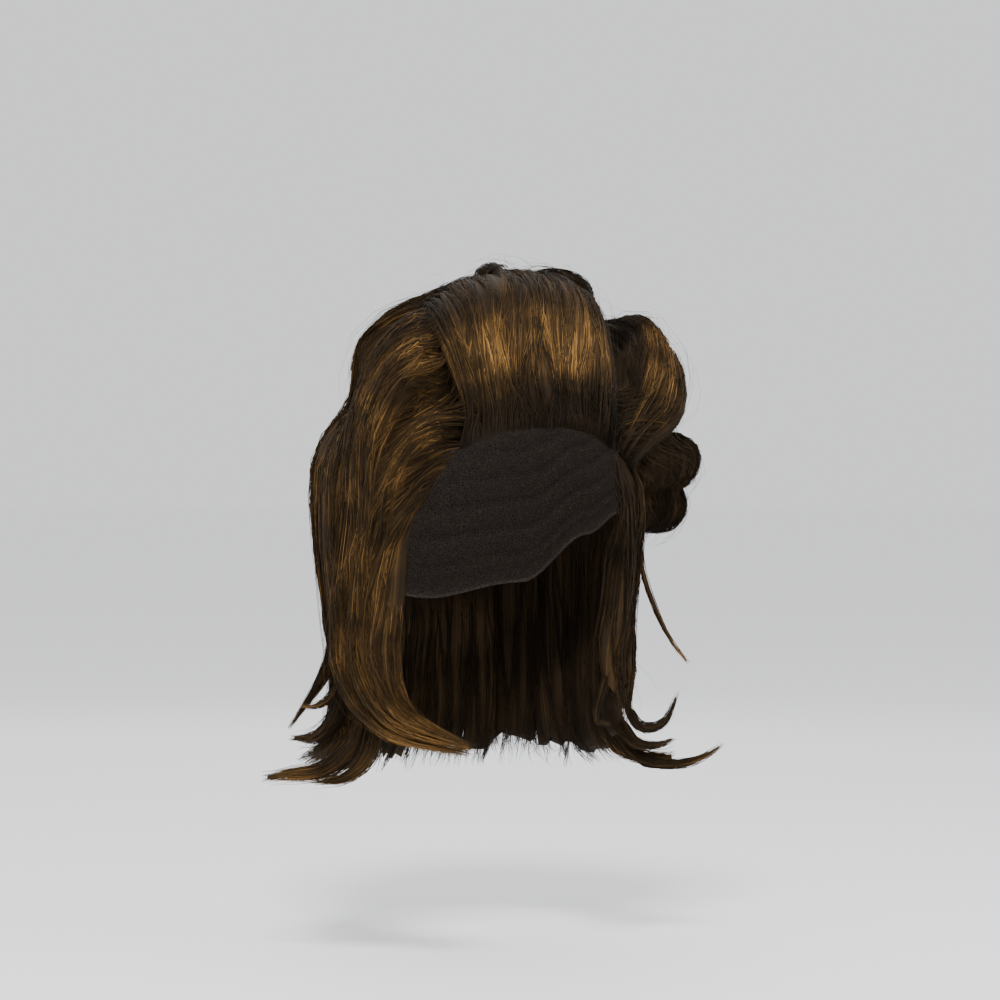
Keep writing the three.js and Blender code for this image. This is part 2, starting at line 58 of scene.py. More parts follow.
UNEVEN_LENGTH = 0.07
TAPER_START = 0.72
FREE_TAPER_START = 0.25
ROOT_SHARE = 0.5
ROOT_END = 0.22
LIFT_OFF = 0.2
NEARBY = 0.02
LOCK_TURN = 2.4
SEED_TURN = 1.7
WEFT_ROWS = 13

# Places are given by azimuth, level and lift. Azimuth is in degrees round the head, 0 at the forehead and 90
# at the wearer's left ear. Level is 1 at the top of the head, 0 at its widest, and -1 at the lowest tips.
# Lift is the share of HAIR_VOLUME by which the hair's surface stands off the head there.
CAP_EDGE = {
    "azimuth": [0, 26, 40, 54, 68, 84, 105, 135, 180],
    "level": [0.31, 0.28, 0.2, 0.04, -0.12, -0.06, -0.14, -0.32, -0.38],
}

BACK_SEAM_RIGHT = dict(
    azimuth=[-144, -147, -148, -148, -147, -148, -150],
    level=[0.42, 0.14, -0.14, -0.42, -0.68, -0.88, -0.98],
    lift=[0.4, 0.52, 0.44, 0.24, 0.1, 0.18, 0.5],
)
BACK_SEAM_LEFT = dict(
    azimuth=[144, 147, 148, 148, 147, 148, 150],
    level=[0.42, 0.14, -0.14, -0.42, -0.68, -0.88, -0.98],
    lift=[0.42, 0.54, 0.46, 0.24, 0.1, 0.18, 0.5],
)


def rolled_guides(level, lift_at):
    """Guides of a curl that rolls over from top to bottom, one at each azimuth."""
    return [dict(azimuth=[azimuth] * len(level), level=level, lift=lift) for azimuth, lift in lift_at.items()]


# Sheets of hair. seated is the share of the length that lies on the cap, tip the share of its width that a
# lock keeps at its end, strands how many there are, gold how light they are on average, and sway how much
# more than others they swing from side to side.
SHEETS = [
    dict(
        name="front_pompadour", locks=7, seated=1, tip=0.95, strands=2500, gold=0.5,
        guides=[
            dict(azimuth=[-40, -37, -38, -43, -51, -66, -92],
                 level=[0.19, 0.25, 0.31, 0.4, 0.5, 0.62, 0.64],
                 lift=[0, 0.35, 0.66, 0.84, 0.86, 0.7, 0.48]),
            dict(azimuth=[-31, -31, -32, -34, -38, -66, -112],
                 level=[0.24, 0.28, 0.33, 0.42, 0.55, 0.76, 0.72],
                 lift=[0, 0.42, 0.85, 1.02, 1.02, 0.78, 0.54]),
            dict(azimuth=[-19, -21, -23, -23, -22, -24, -150],
                 level=[0.27, 0.3, 0.34, 0.43, 0.58, 0.84, 0.9],
                 lift=[0, 0.48, 0.94, 1.14, 1.14, 0.9, 0.76]),
            dict(azimuth=[-5, -9, -12, -11, -6, 14, 165],
                 level=[0.28, 0.31, 0.34, 0.43, 0.58, 0.85, 0.91],
                 lift=[0, 0.5, 0.98, 1.18, 1.16, 0.9, 0.76]),
            dict(azimuth=[11, 4, 1, 3, 12, 50, 115],
                 level=[0.27, 0.3, 0.34, 0.43, 0.58, 0.79, 0.86],
                 lift=[0, 0.45, 0.88, 1.08, 1.1, 0.94, 0.82]),
            dict(azimuth=[25, 21, 19, 22, 34, 62, 98],
                 level=[0.22, 0.28, 0.35, 0.45, 0.58, 0.68, 0.7],
                 lift=[0, 0.3, 0.6, 0.8, 0.86, 0.84, 0.74]),
            dict(azimuth=[31, 32, 34, 38, 48, 70, 100],
                 level=[0.19, 0.26, 0.34, 0.43, 0.53, 0.6, 0.58],
                 lift=[0, 0.1, 0.22, 0.34, 0.46, 0.56, 0.56]),
        ],
    ),
    dict(
        name="side_wave_right", locks=6, seated=1, tip=0.6, strands=1900, gold=0.5,
        sway=1.3,
        guides=[
            dict(azimuth=[-58, -73, -81, -84, -85, -89],
                 level=[0.66, 0.6, 0.48, 0.32, 0.15, -0.05],
                 lift=[0.74, 0.76, 0.68, 0.52, 0.42, 0.36]),
            dict(azimuth=[-47, -55, -64, -72, -77, -81],
                 level=[0.52, 0.48, 0.4, 0.28, 0.13, -0.07],
                 lift=[0.6, 0.78, 0.8, 0.64, 0.46, 0.36]),
            dict(azimuth=[-42, -49, -55, -63, -69, -75],
                 level=[0.43, 0.4, 0.33, 0.22, 0.1, -0.08],
                 lift=[0.44, 0.72, 0.84, 0.7, 0.5, 0.36]),
            dict(azimuth=[-38, -47, -57, -62, -65, -70],
                 level=[0.36, 0.34, 0.29, 0.19, 0.08, -0.1],
                 lift=[0.2, 0.26, 0.28, 0.38, 0.42, 0.34]),
            dict(azimuth=[-42, -46, -53, -59, -63, -66],
                 level=[0.26, 0.23, 0.2, 0.12, 0.03, -0.12],
                 lift=[0.05, 0.48, 0.48, 0.4, 0.38, 0.32]),
            dict(azimuth=[-48, -52, -56, -60, -62, -64],
                 level=[0.17, 0.15, 0.1, 0.04, -0.04, -0.14],
                 lift=[0.02, 0.16, 0.2, 0.2, 0.2, 0.2]),
        ],
    ),
    dict(
        name="side_curl_left_upper", locks=4, seated=1, tip=0.7, strands=1100, gold=0.48,
        guides=[
            dict(azimuth=[33, 40, 47, 55, 66, 88, 108],
                 level=[0.22, 0.33, 0.39, 0.46, 0.5, 0.58, 0.54],
                 lift=[0.02, 0.18, 0.4, 0.64, 0.82, 0.78, 0.62]),
            dict(azimuth=[37, 45, 53, 62, 72, 90, 111],
                 level=[0.19, 0.28, 0.34, 0.41, 0.49, 0.53, 0.46],
                 lift=[0.02, 0.28, 0.58, 0.9, 1.16, 0.98, 0.64]),
            dict(azimuth=[41, 49, 57, 66, 76, 95, 114],
                 level=[0.15, 0.23, 0.28, 0.35, 0.44, 0.46, 0.38],
                 lift=[0.02, 0.34, 0.7, 1.02, 1.26, 1, 0.62]),
            dict(azimuth=[45, 53, 61, 70, 81, 98, 116],
                 level=[0.1, 0.17, 0.2, 0.26, 0.32, 0.32, 0.28],
                 lift=[0.02, 0.34, 0.72, 1.02, 1.2, 0.9, 0.54]),
        ],
    ),
    dict(
        name="side_curl_left_middle", locks=4, seated=1, tip=0.6, strands=800, gold=0.3,
        sway=0.15,
        guides=rolled_guides(
            level=[0.18, 0.17, 0.13, 0.09, 0.04, 0.03],
            lift_at={
                54: [0.08, 0.2, 0.26, 0.26, 0.2, 0.08],
                63: [0.2, 0.45, 0.6, 0.6, 0.45, 0.2],
                73: [0.38, 0.74, 0.96, 0.97, 0.76, 0.38],
                84: [0.44, 0.82, 1.08, 1.12, 0.9, 0.44],
                98: [0.38, 0.72, 0.92, 0.92, 0.72, 0.38],
                110: [0.24, 0.42, 0.52, 0.52, 0.42, 0.24],
            },
        ),
    ),
    dict(
        name="side_curl_left_lower", locks=3, seated=1, tip=0.6, strands=650, gold=0.25,
        sway=0.15,
        guides=rolled_guides(
            level=[0.06, 0.05, 0.01, -0.05, -0.1, -0.11],
            lift_at={
                60: [0.04, 0.1, 0.14, 0.14, 0.1, 0.04],
                68: [0.16, 0.3, 0.4, 0.4, 0.3, 0.16],
                78: [0.32, 0.6, 0.8, 0.82, 0.64, 0.34],
                90: [0.3, 0.56, 0.74, 0.76, 0.6, 0.32],
                102: [0.2, 0.34, 0.44, 0.44, 0.34, 0.2],
            },
        ),
    ),
    dict(
        name="crown_hair", locks=5, seated=1, tip=0.45, strands=1300, gold=0.35,
        guides=[
            dict(azimuth=[-80, -92, -100, -106, -110],
                 level=[0.86, 0.74, 0.62, 0.5, 0.36],
                 lift=[0.64, 0.65, 0.7, 0.66, 0.1]),
            dict(azimuth=[-130, -136, -140, -142, -144],
                 level=[0.93, 0.78, 0.62, 0.46, 0.26],
                 lift=[0.74, 0.74, 0.76, 0.6, 0.24]),
            dict(azimuth=[180, 180, 180, 180, 180],
                 level=[0.93, 0.78, 0.6, 0.42, 0.2],
                 lift=[0.76, 0.76, 0.7, 0.6, 0.5]),
            dict(azimuth=[120, 132, 138, 142, 144],
                 level=[0.93, 0.78, 0.62, 0.46, 0.26],
                 lift=[0.76, 0.78, 0.74, 0.64, 0.52]),
            dict(azimuth=[78, 90, 102, 110, 116],
                 level=[0.84, 0.74, 0.64, 0.52, 0.38],
                 lift=[0.84, 0.82, 0.78, 0.68, 0.54]),
        ],
    ),
    dict(
        name="temple_lock_right", locks=3, seated=0.2, tip=0.2, strands=1200, gold=0.5,
        guides=[
            dict(azimuth=[-46, -55, -64, -66, -70, -68, -38],
                 level=[0.13, -0.01, -0.17, -0.35, -0.53, -0.73, -0.86],
                 lift=[0.04, 0.08, 0.12, 0.14, 0.12, -0.05, -0.4]),
            dict(azimuth=[-52, -70, -84, -91, -89, -70, -38],
                 level=[0.1, -0.07, -0.26, -0.47, -0.67, -0.83, -0.89],
                 lift=[0.14, 0.32, 0.44, 0.46, 0.4, 0.18, -0.34]),
        ],
    ),
    dict(
        name="temple_lock_left", locks=2, seated=0.2, tip=0.25, strands=700, gold=0.3,
        guides=[
            dict(azimuth=[32, 36, 46, 50, 54, 62],
                 level=[0.16, -0.01, -0.2, -0.39, -0.58, -0.8],
                 lift=[0.02, 0.04, -0.06, -0.16, -0.3, -0.2]),
            dict(azimuth=[48, 60, 74, 80, 82, 82],
                 level=[0.11, -0.09, -0.25, -0.45, -0.63, -0.82],
                 lift=[0.16, 0.12, 0.14, 0.12, 0.18, 0.08]),
        ],
    ),
    dict(
        name="back_hair_right", locks=4, seated=0.33, tip=0.2, strands=1250, gold=0.4,
        guides=[
            dict(azimuth=[-80, -84, -88, -90, -88, -88, -92],
                 level=[0.56, 0.14, -0.15, -0.42, -0.68, -0.86, -0.95],
                 lift=[0.28, 0.46, 0.44, 0.28, 0.12, 0.2, 0.6]),
            dict(azimuth=[-112, -116, -118, -118, -116, -118, -122],
                 level=[0.42, 0.15, -0.14, -0.42, -0.68, -0.88, -0.97],
                 lift=[0.16, 0.46, 0.42, 0.26, 0.14, 0.3, 0.7]),
            BACK_SEAM_RIGHT,
        ],
    ),
    dict(
        name="back_hair_left", locks=4, seated=0.33, tip=0.2, strands=1050, gold=0.32,
        guides=[
            BACK_SEAM_LEFT,
            dict(azimuth=[112, 116, 118, 118, 116, 116, 118],
                 level=[0.4, 0.14, -0.14, -0.42, -0.68, -0.88, -0.97],
                 lift=[0.5, 0.55, 0.44, 0.26, 0.14, 0.3, 0.7]),
            dict(azimuth=[84, 86, 88, 88, 86, 86, 86],
                 level=[0.3, 0.08, -0.16, -0.42, -0.68, -0.84, -0.92],
                 lift=[0.5, 0.5, 0.4, 0.2, 0.06, 0.14, 0.5]),
        ],
    ),
    dict(
        name="back_hair_centre", locks=5, seated=0.45, tip=0.5, strands=1250, gold=0.35,
        guides=[
            BACK_SEAM_RIGHT,
            dict(azimuth=[180, 180, 180, 180, 180, 180, 180],
                 level=[0.4, 0.12, -0.15, -0.42, -0.68, -0.88, -1],
                 lift=[0.44, 0.54, 0.44, 0.22, 0.08, 0.14, 0.4]),
            BACK_SEAM_LEFT,
        ],
    ),
]

# Free locks. width and depth are shares of FLICK_WIDTH, and tip is the share of them left at the end.
LOCKS = [
    dict(
        name="crown_tuft", width=0.95, depth=0.65, tip=0.3, strands=150, gold=0.2,
        azimuth=[-40, -20, 60, 120], level=[0.84, 0.93, 0.96, 0.9],
        lift=[0.84, 0.92, 0.9, 0.8],
    ),
    dict(
        name="crown_lump", width=1.5, depth=1.1, tip=0.5, strands=200, gold=0.15,
        azimuth=[58, 64, 78, 105], level=[0.66, 0.74, 0.8, 0.8],
        lift=[0.9, 0.96, 0.94, 0.8],
    ),
    dict(
        name="flick_right_outer", width=0.95, depth=0.5, tip=0.12, strands=110, gold=0.3,
        azimuth=[-103, -104, -106, -108], level=[-0.42, -0.57, -0.7, -0.83],
        lift=[0.2, 0.28, 0.52, 0.85],
    ),
    dict(
        name="flick_right_wisp", width=0.4, depth=0.25, tip=0.3, strands=30, gold=0.3,
        azimuth=[-94, -96, -99, -102], level=[-0.62, -0.7, -0.74, -0.74],
        lift=[0.2, 0.36, 0.55, 0.74],
    ),
    dict(
        name="flick_right_lower", width=1.1, depth=0.6, tip=0.12, strands=130, gold=0.2,
        azimuth=[-94, -97, -102, -107], level=[-0.62, -0.77, -0.85, -0.86],
        lift=[0.14, 0.26, 0.5, 0.84],
    ),
    dict(
        name="flick_right_sweep", width=0.9, depth=0.55, tip=0.2, strands=120, gold=0.6,
        azimuth=[-84, -87, -94, -100, -104], level=[-0.7, -0.87, -0.96, -0.98, -1],
        lift=[0.1, 0.2, 0.5, 0.9, 1.25],
    ),
    dict(
        name="flick_right_under", width=0.9, depth=0.5, tip=0.12, strands=100, gold=0.4,
        azimuth=[-78, -80, -86, -92], level=[-0.76, -0.9, -0.98, -1],
        lift=[0.06, 0.14, 0.36, 0.72],
    ),
    dict(
        name="flick_left_high", width=0.55, depth=0.4, tip=0.15, strands=60, gold=0.2,
        azimuth=[80, 81, 84, 85], level=[-0.74, -0.83, -0.82, -0.71],
        lift=[0.08, 0.3, 0.72, 0.96],
    ),
    dict(
        name="flick_left_inner", width=0.5, depth=0.35, tip=0.2, strands=50, gold=0.2,
        azimuth=[61, 58, 57, 62], level=[-0.54, -0.68, -0.79, -0.81],
        lift=[-0.2, -0.38, -0.46, -0.25],
    ),
    dict(
        name="flick_left_middle", width=0.65, depth=0.45, tip=0.15, strands=80, gold=0.4,
        azimuth=[88, 88, 90, 92], level=[-0.78, -0.89, -0.91, -0.89],
        lift=[0.06, 0.34, 0.76, 1.12],
    ),
    dict(
        name="flick_left_blunt", width=0.9, depth=0.5, tip=0.5, strands=110, gold=0.6,
        azimuth=[98, 96, 94, 92], level=[-0.78, -0.92, -0.96, -0.96],
        lift=[0.1, 0.34, 0.8, 1.14],
    ),
    dict(
        name="flick_left_long", width=0.55, depth=0.4, tip=0.15, strands=70, gold=0.3,
        azimuth=[94, 91, 88, 85, 82], level=[-0.84, -0.96, -0.98, -0.95, -0.9],
        lift=[0.1, 0.52, 1.06, 1.36, 1.56],
    ),
    dict(
        name="stray_lock_left", width=0.35, depth=0.2, tip=0.4, strands=26, gold=0.5,
        azimuth=[73, 75, 77, 79, 80], level=[-0.08, -0.26, -0.42, -0.54, -0.61],
        lift=[0.2, 0.26, 0.5, 0.78, 1.02],
    ),
]

# Strands that lie over the sheets and join them: across their guides they start side by side. They follow the
# hair under them, so that only azimuth and level are given. sag is how readily they sink into a hollow.
VEILS = [
    dict(
        name="hairline_right", strands=620, gold=0.42, spread=0.03,
        guides=[
            dict(azimuth=[-27, -34, -43, -53, -62, -70], level=[0.27, 0.29, 0.3, 0.27, 0.21, 0.11]),
            dict(azimuth=[-33, -40, -49, -58, -67, -74], level=[0.24, 0.25, 0.22, 0.16, 0.06, -0.07]),
            dict(azimuth=[-40, -47, -56, -64, -71, -76], level=[0.18, 0.17, 0.11, 0.02, -0.1, -0.25]),
            dict(azimuth=[-49, -55, -62, -69, -75, -79], level=[0.06, 0.03, -0.06, -0.17, -0.31, -0.48]),
            dict(azimuth=[-57, -62, -68, -74, -79, -82], level=[-0.04, -0.1, -0.2, -0.33, -0.48, -0.64]),
        ],
    ),
    dict(
        name="hairline_left", strands=330, gold=0.25, spread=0.03,
        guides=[
            dict(azimuth=[14, 20, 28, 38, 49, 60], level=[0.3, 0.35, 0.39, 0.4, 0.38, 0.34]),
            dict(azimuth=[27, 33, 41, 50, 59, 68], level=[0.27, 0.3, 0.3, 0.28, 0.25, 0.2]),
            dict(azimuth=[37, 43, 50, 58, 66, 74], level=[0.2, 0.21, 0.2, 0.16, 0.11, 0.06]),
            dict(azimuth=[43, 48, 54, 60, 66, 73], level=[0.13, 0.11, 0.05, -0.03, -0.11, -0.19]),
            dict(azimuth=[45, 46, 50, 55, 60, 64], level=[0.1, 0.04, -0.06, -0.18, -0.32, -0.48]),
        ],
    ),
    dict(
        name="wave_over_right", strands=260, gold=0.45, spread=0.05,
        guides=[
            dict(azimuth=[-60, -68, -76, -83, -88, -90], level=[0.64, 0.62, 0.56, 0.46, 0.34, 0.2]),
            dict(azimuth=[-49, -56, -64, -72, -78, -82], level=[0.52, 0.51, 0.46, 0.37, 0.25, 0.1]),
            dict(azimuth=[-41, -47, -55, -62, -69, -74], level=[0.41, 0.4, 0.35, 0.27, 0.15, 0]),
            dict(azimuth=[-36, -42, -49, -56, -63, -69], level=[0.31, 0.3, 0.26, 0.18, 0.07, -0.08]),
        ],
    ),
    dict(
        name="gap_right", strands=260, gold=0.42, spread=0.05,
        guides=[
            dict(azimuth=[-58, -70, -80, -88, -94, -98], level=[0.68, 0.68, 0.64, 0.56, 0.44, 0.28]),
            dict(azimuth=[-70, -80, -88, -95, -100, -104], level=[0.72, 0.7, 0.64, 0.54, 0.4, 0.22]),
            dict(azimuth=[-84, -92, -98, -103, -107, -110], level=[0.74, 0.68, 0.6, 0.48, 0.32, 0.14]),
        ],
    ),
    dict(
        name="gap_left", strands=220, gold=0.35, spread=0.05,
        guides=[
            dict(azimuth=[64, 74, 84, 93, 101, 107], level=[0.74, 0.74, 0.7, 0.62, 0.5, 0.34]),
            dict(azimuth=[84, 93, 101, 107, 112, 115], level=[0.8, 0.76, 0.68, 0.56, 0.4, 0.22]),
        ],
    ),
    dict(
        name="fall_right", strands=740, gold=0.45, spread=0.05, sag=0.0007,
        guides=[
            dict(azimuth=[-62, -67, -70, -73, -75, -75], level=[0.3, 0.12, -0.06, -0.24, -0.42, -0.62]),
            dict(azimuth=[-76, -80, -83, -86, -87, -87], level=[0.36, 0.14, -0.06, -0.26, -0.46, -0.68]),
            dict(azimuth=[-92, -95, -98, -100, -101, -101], level=[0.44, 0.2, -0.04, -0.26, -0.48, -0.72]),
        ],
    ),
    dict(
        name="fall_back", strands=760, gold=0.35, spread=0.05, sag=0.0012,
        guides=[
            dict(azimuth=[-98, -104, -108, -110, -111, -111], level=[0.64, 0.46, 0.26, 0.06, -0.16, -0.4]),
            dict(azimuth=[-138, -140, -142, -143, -143, -143], level=[0.68, 0.46, 0.24, 0.02, -0.2, -0.46]),
            dict(azimuth=[180, 180, 180, 180, 180, 180], level=[0.68, 0.46, 0.22, 0, -0.22, -0.48]),
            dict(azimuth=[138, 140, 142, 143, 143, 143], level=[0.68, 0.46, 0.24, 0.02, -0.2, -0.46]),
            dict(azimuth=[96, 104, 109, 112, 113, 113], level=[0.64, 0.46, 0.26, 0.06, -0.16, -0.4]),
        ],
    ),
]

# How much painted light the hair gets along its length, from root to end, as shares: low is painted shade at
# the roots and under overhangs, high is golden painted highlight where the hair faces the light.
PAINTED_LIGHT_ALONG = {
    "front_pompadour": [
        (0, 0.04), (0.2, 0.06), (0.32, 0.15), (0.39, 0.8), (0.49, 1), (0.56, 0.6), (0.62, 0.2), (1, 0.15),
    ],
    "side_wave_right": [
        (0, 0.1), (0.1, 0.35), (0.22, 1), (0.34, 0.6), (0.43, 0.2), (0.53, 0.45), (0.62, 0.85), (0.74, 0.35),
        (1, 0.3),
    ],
    "side_curl_left_upper": [
        (0, 0.05), (0.16, 0.4), (0.24, 0.7), (0.36, 0.4), (0.44, 0.95), (0.58, 0.9), (0.66, 0.15), (1, 0.1),
    ],
    "side_curl_left_middle": [(0, 0.1), (0.3, 0.3), (0.6, 0.15), (1, 0.1)],
    "side_curl_left_lower": [(0, 0.1), (0.5, 0.15), (1, 0.1)],
    "crown_hair": [(0, 0.15), (0.3, 0.45), (0.7, 0.5), (1, 0.3)],
    "temple_lock_right": [(0, 0.2), (0.2, 0.4), (0.45, 0.55), (0.7, 0.7), (0.85, 1), (1, 1)],
    "temple_lock_left": [(0, 0.05), (0.3, 0.15), (0.45, 0.25), (0.7, 0.4), (1, 0.3)],
    "back_hair_right": [(0, 0.15), (0.25, 0.4), (0.5, 0.5), (0.7, 0.5), (1, 0.35)],
    "back_hair_left": [(0, 0.1), (0.3, 0.3), (1, 0.3)],
    "back_hair_centre": [(0, 0.15), (0.3, 0.45), (1, 0.35)],
    "locks": [(0, 0.2), (0.5, 0.3), (0.8, 0.7), (1, 0.9)],
    "veils": [(0, 0.1), (0.3, 0.35), (0.6, 0.65), (1, 0.4)],
}

# Painted light and shade from one side of a sheet to the other, where that differs.
PAINTED_LIGHT_ACROSS = {
    "front_pompadour": [(0, 0.8), (0.2, 1), (0.78, 1), (0.88, 0.25), (1, 0.1)],
    "side_curl_left_upper": [(0, 0.15), (0.12, 0.3), (0.3, 1), (0.7, 0.9), (1, 0.4)],
}
EVEN = [(0, 1), (1, 1)]

# How the hair is drawn
LONG_POINTS = 10  # places along a strand that goes up and over
SHORT_POINTS = 7
STRAND_RADIUS = 0.00028
STRAND_SIDES = 3
TONES = 64  # columns of the strands' UV map, one tone each
BODY_BELOW = 0.0014  # how far a sheet's dark body lies under its strands
BODY_TIP = 0.88  # least share of its width that a lock's body keeps
BODY_SHORT = 0.03  # how much sooner a hanging body ends than its strands
INSIDE_WIDTH = 0.94  # a body's inside, as a share of its outside's width
INSIDE_DEPTH = 0.85  # and of its depth
TIP_THINNING = 0.6  # share of its depth that a body loses at its end
OUTER_COMB = 0.0003  # unevenness of the ridges combed into a body's outside
INNER_COMB = 0.0004
RAGGED = 0.09  # how much shorter than its lock a streak of its body may end
ROOT_RISE = (-0.02, 0.1)  # the stretch at its root over which hanging hair rises from the cap
INSIDE_V = 0.02  # how far along the UV map the bodies' insides reach, which gives them the dark painted shade of the roots
RIDGE = 0.45  # share of LOCK_CREST that shows where the hair lies on the cap
CLUMPS = 6  # bundles across one lock
BUNDLES = 997  # more than any sheet has
SWAY = 0.5  # how far a bundle swings to each side, in half widths of its lock
SWELL = 0.0009  # how far a bundle's middle stands out
SUNK = 0.0009  # how deep strands lie in the hair on average
RIPPLE = 0.0006
LATE_SHARE = 0.6  # strands that come out of the hair below its root
LATE_DEPTH = 0.007
SHORT_SHARE = 0.45  # short strands that fill the end of hanging hair
BUNDLE_TONE = 0.06  # spread of tone between bundles, and between strands
STRAND_TONE = 0.15
LEAST_TONE = 0.02
FLYAWAY_SHARE = 0.03
FLYAWAY_LIFT = 0.004
FLYAWAY_LIMIT = 0.009
CROSSING_SHARE = 0.06  # strands that wander sideways over the others
VEIL_ABOVE = 0.0022  # how far a veil lies over the bodies
VEIL_SAG = 0.0003
VEIL_TUCK = 0.006  # how deep its strands start, and how deep most of them end
VEIL_END = 0.004
REACH = 0.08  # farther out than any hair over the head
INSIDE_SHARE = 0.25  # strands on the inner side of hair that hangs
EDGE_SHARE = 0.12  # strands on the two edges of a sheet
CAP_CLEARANCE = 0.0006
UV_NAME = "OFBake"

# First seeds of the random draws, one for each kind of piece
BODY_SEED = 0
STRAND_SEED = 1000
LOCK_BODY_SEED = 2000
LOCK_STRAND_SEED = 3000
VEIL_SEED = 4000

# Colours and gloss
DARK = (0.0052, 0.004, 0.003)
BROWN = (0.02, 0.0136, 0.0084)
UMBER = (0.058, 0.034, 0.0145)
GOLD = (0.35, 0.178, 0.05)
SHEEN = (1, 0.74, 0.42, 1)
NET_THREAD = (0.06, 0.042, 0.030)
NET_HOLE = (0.014, 0.010, 0.008)
FLOOR_COLOUR = (0.97, 0.97, 0.98, 1)
SKY_COLOUR = (0.95, 0.96, 0.98, 1)
PATCH_SIZE = 0.026  # of the broad patches that vary the painted light over the hair
STREAKS_ACROSS = 420  # streaks over the width of a body's UV map
STREAKS_ALONG = 5
NET_SCALE = 620  # cells of the net in a metre

# The studio's round lights, aimed at LIGHT_AIM
LIGHT_AIM = (0, 0, -0.08)
LIGHTS = [
    {"name": "key", "place": (-0.7, -1.5, 1.5), "size": 0.6, "power": 64},
    {"name": "fill", "place": (1.6, -1.4, 0.6), "size": 1.0, "power": 16},
    {"name": "rim", "place": (0.5, 1.8, 0.9), "size": 0.8, "power": 6},
]
SKY_STRENGTH = 1.1
FLOOR_SIZE = 200

# The photograph's camera
CAMERA_AZIMUTH = -24
CAMERA_DISTANCE = 1.8
CAMERA_AIM = (0.0064, -0.0028, -0.094)
VIEW_WIDTH = 0.583
FLOOR_HEIGHT = -0.36


def mix(low, high, share):
    return low + (high - low) * share


def smoothstep(value, low, high):
    share = np.clip((value - low) / (high - low), 0, 1)
    return share * share * (3 - 2 * share)


def unit(vectors):
    return vectors / np.maximum(np.linalg.norm(vectors, axis=-1, keepdims=True), 1e-9)


def dot(a, b):
    return np.sum(a * b, axis=-1, keepdims=True)


def outward(points):
    """The direction away from the head: from its centre above the widest level, level below it."""
    away = points.copy()
    away[..., 2] = np.maximum(points[..., 2] + CROWN_HEIGHT, 0)
    return unit(away)


def on_head(azimuth, level, tuck):
    turn = np.radians(azimuth)
    rise = np.radians(90 * np.maximum(level, 0))
    below = np.minimum(level, 0)
    size = np.cos(rise) * (1 - tuck * below * below)
    x = np.sin(turn) * size * HEAD_BREADTH / 2
    y = -np.cos(turn) * size * HEAD_LENGTH / 2
    z = np.sin(rise) * CROWN_HEIGHT + below * FALL - CROWN_HEIGHT
    return np.stack([x, y, z], axis=-1)


def hair_points(row):
    level = np.array(row["level"], float)
    points = on_head(np.array(row["azimuth"], float), level, 0)
    return points + outward(points) * np.array(row["lift"])[:, None] * HAIR_VOLUME


def skin_points(row):
    return on_head(np.array(row["azimuth"], float), np.array(row["level"], float), HEAD_TUCK)


def through(points, share):
    """Where each smooth line through points (stations, lines, 3) is at its share (lines)."""
    count = len(points)
    points = np.broadcast_to(points, (count, len(share), 3))
    before = 2 * points[:1] - points[1:2]
    after = 2 * points[-1:] - points[-2:-1]
    padded = np.concatenate([before, points, after])
    place = np.clip(share, 0, 1) * (count - 1)
    row = np.minimum(place.astype(int), count - 2)
    each = np.arange(len(share))
    p0, p1, p2, p3 = (padded[row + k, each] for k in range(4))
    w = (place - row)[:, None]

    def root_gap(a, b):
        return np.maximum(np.linalg.norm(b - a, axis=1, keepdims=True) ** 0.5, 1e-6)

    d0, d1, d2 = root_gap(p0, p1), root_gap(p1, p2), root_gap(p2, p3)
    start = d1 * ((p1 - p0) / d0 - (p2 - p0) / (d0 + d1) + (p2 - p1) / d1)
    end = d1 * ((p2 - p1) / d1 - (p3 - p1) / (d1 + d2) + (p3 - p2) / d2)
    cubic = 2 * p1 - 2 * p2 + start + end
    square = -3 * p1 + 3 * p2 - 2 * start - end
    return p1 + w * (start + w * (square + w * cubic))


def surface(sheet, to_points):
    """The sheet's surface as a function of shares across its guides and along them, of any one shape."""
    lines = [to_points(row)[:, None, :] for row in sheet["guides"]]

    def at(across, along):
        across, along = np.broadcast_arrays(across, along)
        ribs = np.stack([through(line, along.ravel()) for line in lines])
        return through(ribs, across.ravel()).reshape(across.shape + (3,))

    return at


def facing(at, across, along):
    """The surface's points and the outward direction square to the hair's flow there."""
    point = at(across, along)
    flow = unit(at(across, np.minimum(along + NEARBY, 1)) - at(across, np.maximum(along - NEARBY, 0)))
    out = outward(point)
    return point, unit(out - flow * dot(out, flow))


def edge_level(azimuth):
    around = np.abs((azimuth + 180) % 360 - 180)
    stations, levels = np.array(CAP_EDGE["azimuth"]), np.array(CAP_EDGE["level"])
    after = np.clip(np.searchsorted(stations, around), 1, len(stations) - 1)
    share = smoothstep(around, stations[after - 1], stations[after])
    return mix(levels[after - 1], levels[after], share)


def off_cap(points, clearance):
    """Points moved out where they would lie in the cap, above its edge."""
    out = points.copy()
    x, y = points[..., 0] / (HEAD_BREADTH / 2), points[..., 1] / (HEAD_LENGTH / 2)
    height = points[..., 2] + CROWN_HEIGHT
    rise = np.maximum(height, 0) / CROWN_HEIGHT
    below = np.minimum(height, 0) / FALL
    size = np.sqrt(x * x + y * y + rise * rise) / (1 - HEAD_TUCK * below * below)
    wanted = 1 + (HEM_WALL + clearance) / (HEAD_BREADTH / 2)
    level = np.where(height > 0, np.degrees(np.arcsin(np.clip(rise, 0, 1))) / 90, below)
    capped = level > edge_level(np.degrees(np.arctan2(x, -y)))
    grow = np.where(capped, np.maximum(wanted / np.maximum(size, 0.3), 1), 1)
    out[..., :2] *= grow[..., None]
    out[..., 2] = np.where(height > 0, height * grow, height) - CROWN_HEIGHT
    return out


def unevenness(index, seed):
    return np.sin(index * LOCK_TURN + seed * SEED_TURN)


